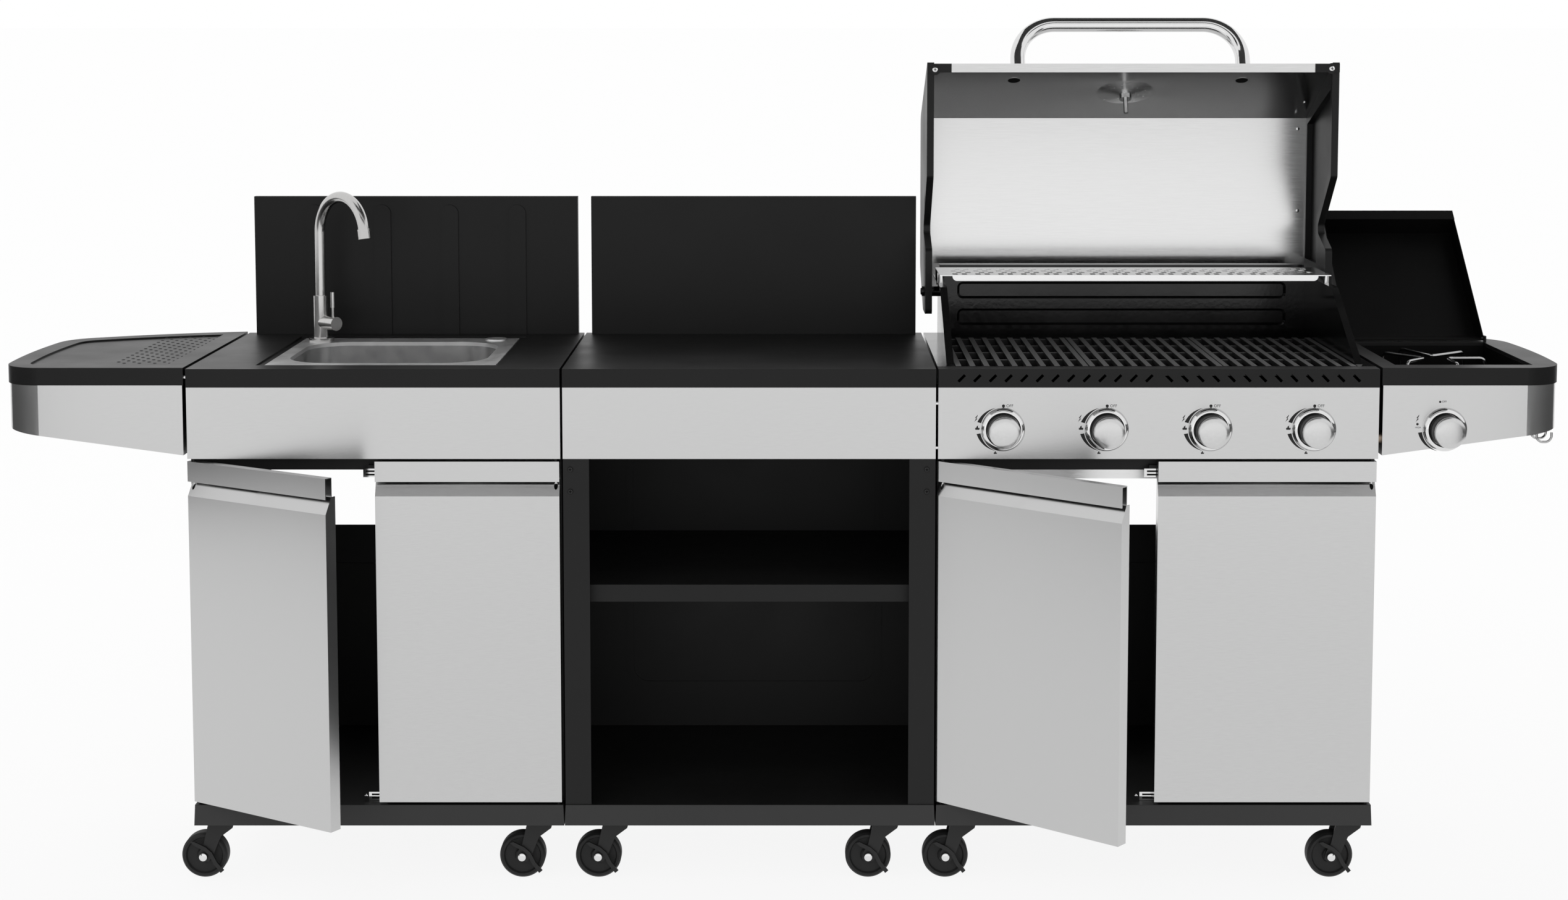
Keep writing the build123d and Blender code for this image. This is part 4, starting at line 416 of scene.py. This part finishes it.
FINISHES = {
    STEEL: ["blank_fascias", "control_panel", "sink_door_left", "sink_door_right", "grill_door_left",
            "grill_door_right", "side_aprons"],
    HOOD_STEEL: ["hood_shell"],
    SINK_STEEL: ["sink_bowl"],
    TAP_STEEL: ["tap_body", "tap_spout", "tap_lever"],
    CHROME: ["hood_handle", "knob_bezels"],
    WIRE_STEEL: ["side_burner_trivet", "tool_hooks"],
    SPUN_STEEL: ["thermometer"],
    RACK_STEEL: ["warming_rack", "drip_tray"],
    DARK_STEEL: ["burners", "heat_tents", "side_burner"],
    BLACK_COAT: ["worktops", "left_table_top", "side_burner_top", "firebox_front_rail", "hood_end_caps"],
    SPLASH_COAT: ["backsplashes"],
    LID_COAT: ["side_burner_lid", "side_burner_pan"],
    CABINET_COAT: ["sink_cabinet", "grill_cabinet", "shelf_cabinet", "shelf_board"],
    PORCELAIN: ["firebox"],
    IRON: ["cooking_grates"],
    BRASS: ["gas_manifold"],
    BLACK_PLASTIC: ["burner_knob_1", "burner_knob_2", "burner_knob_3", "burner_knob_4", "side_burner_knob"],
    CASTER_COAT: [name for name in nodes if "caster_fork" in name],
    RUBBER: [name for name in nodes if "_wheel_" in name],
}

for finish, names in FINISHES.items():
    for name in names:
        nodes[name].data.materials.clear()
        nodes[name].data.materials.append(finish)


# Mesh tools, all in millimetres


def square_to(axis):
    """Two directions square to an axis and to each other."""
    helper = UP if abs(axis.z) < 0.9 else RIGHT
    across = helper.cross(axis).normalized()
    return across, axis.cross(across)


def lathe(bm, place, axis, profile, finish=0, segments=32, teeth=0, tooth=0.0):
    """Turned solid: a profile of radius and height round an axis, with teeth on its rim if asked for.

    The finish is a number in the piece's list of finishes.
    """
    place, axis = Vector(place), Vector(axis).normalized()
    across, along = square_to(axis)
    count = teeth * TOOTH_STEPS if teeth else segments
    rings = []
    for radius, height in profile:
        centre = place + axis * height
        if radius == 0:
            rings.append([bm.verts.new(centre)])
            continue
        ring = []
        for i in range(count):
            angle = 2 * math.pi * i / count
            r = radius + (tooth if i % TOOTH_STEPS < TOOTH_STEPS / 2 else 0)
            ring.append(bm.verts.new(centre + (across * math.cos(angle) + along * math.sin(angle)) * r))
        rings.append(ring)
    for low, high in zip(rings, rings[1:]):
        for i in range(count):
            j = (i + 1) % count
            corners = [low[i % len(low)], low[j % len(low)], high[j % len(high)], high[i % len(high)]]
            corners = [c for k, c in enumerate(corners) if c not in corners[:k]]
            if len(corners) > 2:
                bm.faces.new(corners).material_index = finish


def prism(bm, place, right, up, outline, depth, finish=0):
    """Solid of an outline given in the directions right and up, raised towards the viewer by depth."""
    place = Vector(place)
    out = right.cross(up)
    low = [bm.verts.new(place + right * u + up * v) for u, v in outline]
    high = [bm.verts.new(vert.co + out * depth) for vert in low]
    faces = [bm.faces.new(high)]
    for i in range(len(low)):
        j = (i + 1) % len(low)
        faces.append(bm.faces.new([low[i], low[j], high[j], high[i]]))
    for face in faces:
        face.material_index = finish


def bar(bm, place, right, up, size, depth, finish=0):
    """Flat bar centred on a place."""
    u, v = size[0] / 2, size[1] / 2
    prism(bm, place, right, up, ((-u, -v), (u, -v), (u, v), (-u, v)), depth, finish)


def screw(bm, place, out, radius, finish=0, slot=1, rise=1.0):
    """Pan-head screw whose cross recess is a thin raised cross in the slot finish, painted shade in place of a
    real recess; rise makes the head flatter.
    """
    out = Vector(out)
    step = radius * rise
    lathe(bm, place, out, [(radius * r, step * h) for r, h in SCREW_PROFILE], finish, segments=20)
    across, along = square_to(out)
    top = Vector(place) + out * step * SCREW_SLOT_UP
    length, width = SCREW_SLOT
    for u, v in ((across, along), (along, -across)):
        bar(bm, top, u, v, (radius * length, radius * width), radius * SCREW_SLOT_T, slot)


def wire(bm, points, radius, bend, finish=0, sides=10, steps=5):
    """Round wire along straight runs that turn into each other in smooth bends."""
    points = [Vector(p) for p in points]
    path = [points[0]]
    for before, corner, after in zip(points, points[1:], points[2:]):
        start = corner + (before - corner).normalized() * bend
        end = corner + (after - corner).normalized() * bend
        for i in range(steps + 1):
            t = i / steps
            path.append(start * (1 - t) ** 2 + corner * 2 * t * (1 - t) + end * t * t)
    path.append(points[-1])
    across = square_to((path[1] - path[0]).normalized())[0]
    rings = []
    for i, place in enumerate(path):
        run = (path[min(i + 1, len(path) - 1)] - path[max(i - 1, 0)]).normalized()
        across = (across - run * across.dot(run)).normalized()
        along = run.cross(across)
        turns = [math.tau * k / sides for k in range(sides)]
        spokes = [across * math.cos(a) + along * math.sin(a) for a in turns]
        rings.append([bm.verts.new(place + spoke * radius) for spoke in spokes])
    for low, high in zip(rings, rings[1:]):
        for k in range(sides):
            j = (k + 1) % sides
            bm.faces.new([low[k], low[j], high[j], high[k]]).material_index = finish
    bm.faces.new(rings[0]).material_index = finish
    bm.faces.new(rings[-1]).material_index = finish


def piece(name, body, finishes, make, origin=(0, 0, 0), replaces=()):
    """New part of the scene, made by a function that fills a mesh, riding on a body."""
    bm = bmesh.new()
    make(bm)
    bmesh.ops.recalc_face_normals(bm, faces=bm.faces)
    mesh = bpy.data.meshes.new(name)
    bm.to_mesh(mesh)
    bm.free()
    base = at(*origin)
    for vert in mesh.vertices:
        vert.co = at(*vert.co) - base
    mesh.shade_smooth()
    mesh.set_sharp_from_angle(angle=math.radians(SMOOTH_BELOW))
    for finish in finishes:
        mesh.materials.append(finish)
    obj = bpy.data.objects.new(name, mesh)
    obj.location = base
    bpy.context.collection.objects.link(obj)
    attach(obj, body)
    for node in replaces:
        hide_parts(node)


def label(name, words, knob_x, place):
    """Printed word beside a knob; the place is of the middle of its left edge, with the letters' height."""
    across, up, height = place
    curve = bpy.data.curves.new(name, "FONT")
    curve.body = words
    curve.size = height / CAPITAL_SHARE * MM
    curve.extrude = MARK_T * MM / 2
    curve.align_y = "CENTER"
    curve.materials.append(PRINT_BLACK)
    obj = bpy.data.objects.new(name, curve)
    obj.location = at(knob_x + across, -MARK_T / 2, KNOB_Z + up)
    obj.rotation_euler = (math.radians(90), 0, 0)
    bpy.context.collection.objects.link(obj)
    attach(obj, "kitchen")


# Knobs, their rings and marks


def knob(name, x):
    """Knurled black knob with a spun steel cap."""
    place = (x, 0, KNOB_Z)

    def make(bm):
        lathe(bm, place, FRONT, SKIRT_PROFILE, segments=TURNED_STEPS)
        lathe(bm, place, FRONT, GRIP_PROFILE, teeth=KNOB_TEETH, tooth=TOOTH_H)
        lathe(bm, place, FRONT, DOME_PROFILE, 1, segments=TURNED_STEPS)

    piece(name + "_cap", name, (BLACK_PLASTIC, SPUN_STEEL), make, place, [name])


def rings(bm):
    """Domed ring round each knob."""
    for x in (*KNOB_XS, SIDE_KNOB_X):
        lathe(bm, (x, 0, KNOB_Z), FRONT, BEZEL_PROFILE, segments=TURNED_STEPS)


def crescent(x, arc, thin_first):
    """Outline of a mark that grows from nothing to its full width round a knob."""
    start, end = arc
    steps = MARK_STEPS
    angles = [math.radians(start + (end - start) * i / steps) for i in range(steps + 1)]
    inner = [(x + MARK_IN * math.cos(a), MARK_IN * math.sin(a)) for a in angles]
    outer = []
    for i, a in enumerate(angles):
        share = i / steps if thin_first else 1 - i / steps
        r = MARK_IN + MARK_TIP + (MARK_OUT - MARK_IN) * share
        outer.append((x + r * math.cos(a), r * math.sin(a)))
    return outer + inner[::-1]


def disc(knob_x, x, z, radius):
    """Outline of a round mark beside a knob."""
    angles = [math.tau * i / DOT_STEPS for i in range(DOT_STEPS)]
    return [(knob_x + x + radius * math.cos(a), z + radius * math.sin(a)) for a in angles]


def moved(outline, knob_x, x, z, scale=1.0):
    """Outline at a place beside a knob, in another size."""
    return [(knob_x + x + u * scale, z + v * scale) for u, v in outline]


def marks(bm):
    """Printed marks on the panel and the right apron: dots, flames, sparks and swelling arcs."""
    outlines = []
    for x in KNOB_XS:
        outlines += [crescent(x, UPPER_ARC, True), crescent(x, LOWER_ARC, False), disc(x, *OFF_DOT),
                     moved(SPARK, x, *SPARK_AT), moved(FLAME, x, *FLAME_AT), moved(FLAME, x, *SMALL_FLAME)]
    x = SIDE_KNOB_X
    outlines += [crescent(x, SIDE_ARC, False), disc(x, *SIDE_OFF_DOT), moved(SPARK, x, *SIDE_SPARK_AT),
                 disc(x, *SIDE_HIGH_DOT)]
    for outline in outlines:
        prism(bm, (0, 0, KNOB_Z), RIGHT, UP, outline, MARK_T)


for i, x in enumerate(KNOB_XS):
    knob(f"burner_knob_{i + 1}", x)
    label(f"off_label_{i + 1}", "OFF", x, OFF_WORD)
knob("side_burner_knob", SIDE_KNOB_X)
label("off_label_side", "OFF", SIDE_KNOB_X, SIDE_OFF_WORD)
label("high_label", "HIGH", SIDE_KNOB_X, SIDE_HIGH_WORD)
piece("bezel_rings", "kitchen", (CHROME,), rings, replaces=["knob_bezels"])
piece("panel_marks", "kitchen", (PRINT_BLACK,), marks)


# Left side table


def dimples(bm):
    """Staggered rows of pressed-up studs on the left side table."""
    for row in range(DIMPLE_ROWS):
        y = DIMPLE_START[1] + row * DIMPLE_PITCH[1]
        for column in range(DIMPLE_COLUMNS):
            u = DIMPLE_START[0] + (column + 0.5 * (row % 2)) * DIMPLE_PITCH[0]
            lathe(bm, (TABLE_EDGE_X - u, y, TABLE_FIELD_Z), UP, DIMPLE_PROFILE, segments=12)


piece("table_dimples", "kitchen", (BLACK_COAT,), dimples)


# Hood


def hood_fittings(bm):
    """Screws in the hood's corners and seams, with the open ends of the handle's bolt holes drawn as flat
    discs of painted shade in steel rings.
    """
    for place in TAB_SCREWS:
        lathe(bm, place, FRONT, WASHER_PROFILE, 1)
        screw(bm, Vector(place) + FRONT * WASHER_T, FRONT, TAB_SCREW_R, 0, 2, TAB_SCREW_RISE)
    for place in SEAM_SCREWS:
        screw(bm, place, FRONT, SEAM_SCREW_R, 0, 2)
    screw(bm, CORNER_SCREW, HOOD_INNER, CORNER_SCREW_R, 0, 2)
    for place in HANDLE_BOLTS:
        lathe(bm, place, HOOD_INNER, HOLE_RING_PROFILE, 3)
        lathe(bm, place, HOOD_INNER, HOLE_PROFILE, 2)


def hinge_bolts(bm):
    """Bolt heads on the hood's hinge line."""
    for hand in (-1, 1):
        place = (HINGE[0] + hand * HINGE_HALF, HINGE[1], HINGE[2])
        lathe(bm, place, RIGHT * hand, HINGE_BOLT_PROFILE)


def dial(bm):
    """Face, scale and needle of the thermometer."""
    profile = ((GAUGE_DIAL_R, GAUGE_DIAL_FOOT), (GAUGE_DIAL_R, GAUGE_DIAL_T), (0, GAUGE_DIAL_T))
    lathe(bm, GAUGE_FACE, GAUGE_OUT, profile, segments=48)
    face = Vector(GAUGE_FACE) + GAUGE_OUT * GAUGE_DIAL_T

    def ray(degrees):
        angle = math.radians(degrees)
        return RIGHT * math.cos(angle) + GAUGE_OUT.cross(RIGHT) * math.sin(angle)

    for i in range(GAUGE_TICKS):
        run = ray(GAUGE_START - GAUGE_SWEEP * i / (GAUGE_TICKS - 1))
        size = SHORT_TICK if i % LONG_TICK_EVERY else LONG_TICK
        bar(bm, face + run * (GAUGE_DIAL_R - TICK_IN), run, GAUGE_OUT.cross(run), size, TICK_T, 1)
    run = ray(GAUGE_START)
    prism(bm, face + GAUGE_OUT * NEEDLE_T, run, GAUGE_OUT.cross(run), NEEDLE, NEEDLE_T, 2)
    lathe(bm, face, GAUGE_OUT, NEEDLE_HUB_PROFILE, 1, segments=20)


piece("hood_fittings", "hood", (CHROME, BLACK_COAT, PAINTED_HOLE_SHADE, HOOD_STEEL), hood_fittings)
piece("hood_hinge_bolts", "hood", (BLACK_COAT,), hinge_bolts)
piece("gauge_dial", "hood", (DIAL_WHITE, PRINT_BLACK, NEEDLE_RED), dial)


# Cabinet and sink fittings


def post_screws(bm):
    """Black screws at the head of the open cabinet's posts."""
    for place in POST_SCREWS:
        screw(bm, place, FRONT, POST_SCREW_R)


def catches(bm):
    """Bright magnet catches with two keeper slots, drawn as thin bars of painted shade, at the top and bottom
    where the doors meet.
    """
    for mid in DOOR_MIDS:
        for spot in CATCH_PLACES:
            place = RIGHT * mid + Vector(spot)
            bar(bm, place, RIGHT, UP, CATCH_SIZE, CATCH_T)
            for step in (-1, 1):
                bar(bm, place + FRONT * CATCH_T + UP * step * KEEPER_UP, RIGHT, UP, KEEPER_SIZE, KEEPER_T, 1)
        screw(bm, RIGHT * mid + Vector(CATCH_SCREW), FRONT, CATCH_SCREW_R)


def studs(bm):
    """Bright spacers seen in the gaps between neighbouring modules."""
    profile = ((0, 0), (STUD_R, 0), (STUD_R, STUD_L), (0, STUD_L))
    for place in STUDS:
        lathe(bm, Vector(place) - RIGHT * STUD_L / 2, RIGHT, profile, segments=16)


def strainer(bm):
    """Waste flange in the sink's floor with its perforated plate, whose holes are flat discs of painted shade.
    """
    lathe(bm, SINK_WASTE, UP, STRAINER_PROFILE, segments=48)
    plate = Vector(SINK_WASTE) + UP * STRAINER_PLATE_H
    for count, radius in STRAINER_HOLES:
        for i in range(count):
            angle = math.tau * i / count
            place = plate + Vector((math.cos(angle), math.sin(angle), 0)) * radius
            lathe(bm, place, UP, STRAINER_HOLE_PROFILE, 1, segments=12)


def trivet(bm):
    """Three wires bent to a V, with their ends turned down to the pan."""
    x, y = TRIVET_AT

    def spot(degrees, reach, z):
        angle = math.radians(degrees)
        return (x + reach * math.cos(angle), y + reach * math.sin(angle), z)

    for eye, first, last in TRIVET_VEES:
        wire(bm, (spot(*first, TRIVET_FLOOR), spot(*first, TRIVET_TOP), spot(*eye, TRIVET_TOP),
                  spot(*last, TRIVET_TOP), spot(*last, TRIVET_FLOOR)), TRIVET_R, TRIVET_BEND)


def hub(fork):
    """Bright cap on the front end of a caster's axle."""
    wheel = nodes[fork.replace("caster_fork", "front_wheel")]
    corners = [wheel.matrix_world @ Vector(c) for c in wheel.bound_box]
    middle = sum(corners, Vector()) / len(corners) / MM
    front = min((nodes[fork].matrix_world @ Vector(c)).y for c in nodes[fork].bound_box) / MM
    place = (middle.x, front + MID_DEPTH, middle.z)

    def make(bm):
        lathe(bm, place, FRONT, HUB_PROFILE, segments=24)

    piece(fork.replace("caster_fork", "hub_cap"), fork, (CHROME,), make, place)


for fork in [name for name in nodes if "caster_fork" in name]:
    hub(fork)
piece("trivet_wires", "kitchen", (WIRE_STEEL,), trivet, replaces=["side_burner_trivet"])
piece("post_screws", "kitchen", (CASTER_COAT, PAINTED_HOLE_SHADE), post_screws)
piece("door_catches", "kitchen", (CHROME, PAINTED_HOLE_SHADE), catches)
piece("module_studs", "kitchen", (CHROME,), studs)
piece("sink_strainer", "kitchen", (CHROME, PAINTED_HOLE_SHADE), strainer)


# Studio


def floor():
    """White studio floor that keeps the shadow of what stands on it."""
    mat, bsdf = shader("studio_floor", grey(FLOOR_TONE), 0, 0.8, Specular_IOR_Level=0.1)
    tree = mat.node_tree
    clouds = noise(mat, (2, 2, 2), 4)
    tint(mat, bsdf, clouds, grey(FLOOR_TONE - 0.01), grey(FLOOR_TONE + 0.01))
    glow = tree.nodes.new("ShaderNodeEmission")
    glow.inputs["Strength"].default_value = 1
    blend = tree.nodes.new("ShaderNodeMixShader")
    share = tree.nodes.new("ShaderNodeMath")
    share.operation = "MULTIPLY"
    share.inputs[1].default_value = FLOOR_GLOW
    tree.links.new(seen_directly(tree), share.inputs[0])
    tree.links.new(share.outputs[0], blend.inputs["Fac"])
    tree.links.new(bsdf.outputs["BSDF"], blend.inputs[1])
    tree.links.new(glow.outputs["Emission"], blend.inputs[2])
    tree.links.new(blend.outputs["Shader"], tree.nodes["Material Output"].inputs["Surface"])
    mesh = bpy.data.meshes.new("floor")
    half = FLOOR_HALF_M
    corners = [(-half, -half, 0), (half, -half, 0), (half, half, 0), (-half, half, 0)]
    mesh.from_pydata(corners, [], [range(len(corners))])
    obj = bpy.data.objects.new("floor", mesh)
    bpy.context.collection.objects.link(obj)
    mesh.materials.append(mat)


def seen_directly(tree):
    """One for rays from the camera, a mirror or glass, and nought for the rest."""
    path = tree.nodes.new("ShaderNodeLightPath")
    total = path.outputs["Is Camera Ray"]
    for kind in ("Is Glossy Ray", "Is Transmission Ray"):
        larger = tree.nodes.new("ShaderNodeMath")
        larger.operation = "MAXIMUM"
        tree.links.new(total, larger.inputs[0])
        tree.links.new(path.outputs[kind], larger.inputs[1])
        total = larger.outputs[0]
    return total


def world():
    """White studio room."""
    room = bpy.data.worlds.new("studio")
    bpy.context.scene.world = room
    room.use_nodes = True
    walls = room.node_tree.nodes["Background"]
    walls.inputs["Color"].default_value = (1, 1, 1, 1)
    walls.inputs["Strength"].default_value = 1


def lamps():
    """Low soft box in front."""
    data = bpy.data.lights.new("front_box", "AREA")
    data.shape = "RECTANGLE"
    data.size, data.size_y = FRONT_BOX_SIZE
    data.energy = FRONT_BOX_WATTS
    obj = bpy.data.objects.new("front_box", data)
    obj.location = at(*FRONT_BOX)
    obj.rotation_euler = (math.radians(90), 0, 0)
    obj.visible_camera = False
    bpy.context.collection.objects.link(obj)


def cards():
    """Black cards beside and above the object, which give bright metal its dark edges."""
    places = {
        "card_left": (SIDE_CARD_TONE, [at(-SIDE_CARD_X, y, z) for y, z in SIDE_CARD]),
        "card_right": (SIDE_CARD_TONE, [at(SIDE_CARD_X, y, z) for y, z in SIDE_CARD]),
        "card_front": (TOP_CARD_TONE, [at(x, y, TOP_CARD_Z) for x, y in FRONT_CARD]),
        "card_top": (TOP_CARD_TONE, [at(x, y, TOP_CARD_Z) for x, y in TOP_CARD]),
    }
    for name, (level, corners) in places.items():
        mat, _ = shader(name, grey(level), 0, 0.9, Specular_IOR_Level=0.1)
        mesh = bpy.data.meshes.new(name)
        mesh.from_pydata(corners, [], [range(len(corners))])
        mesh.materials.append(mat)
        obj = bpy.data.objects.new(name, mesh)
        obj.visible_camera = False
        bpy.context.collection.objects.link(obj)


def camera():
    """Camera at the photograph's place."""
    data = bpy.data.cameras.new("camera")
    data.lens = CAMERA_LENS
    data.sensor_width = CAMERA_SENSOR
    data.shift_x, data.shift_y = CAMERA_SHIFT
    data.clip_end = CAMERA_REACH_M
    obj = bpy.data.objects.new("camera", data)
    obj.location = at(*CAMERA_AT)
    obj.rotation_euler = (math.radians(90 - CAMERA_DIP), 0, 0)
    bpy.context.collection.objects.link(obj)
    bpy.context.scene.camera = obj


floor()
world()
lamps()
cards()
camera()
bpy.context.scene.view_settings.view_transform = "Standard"
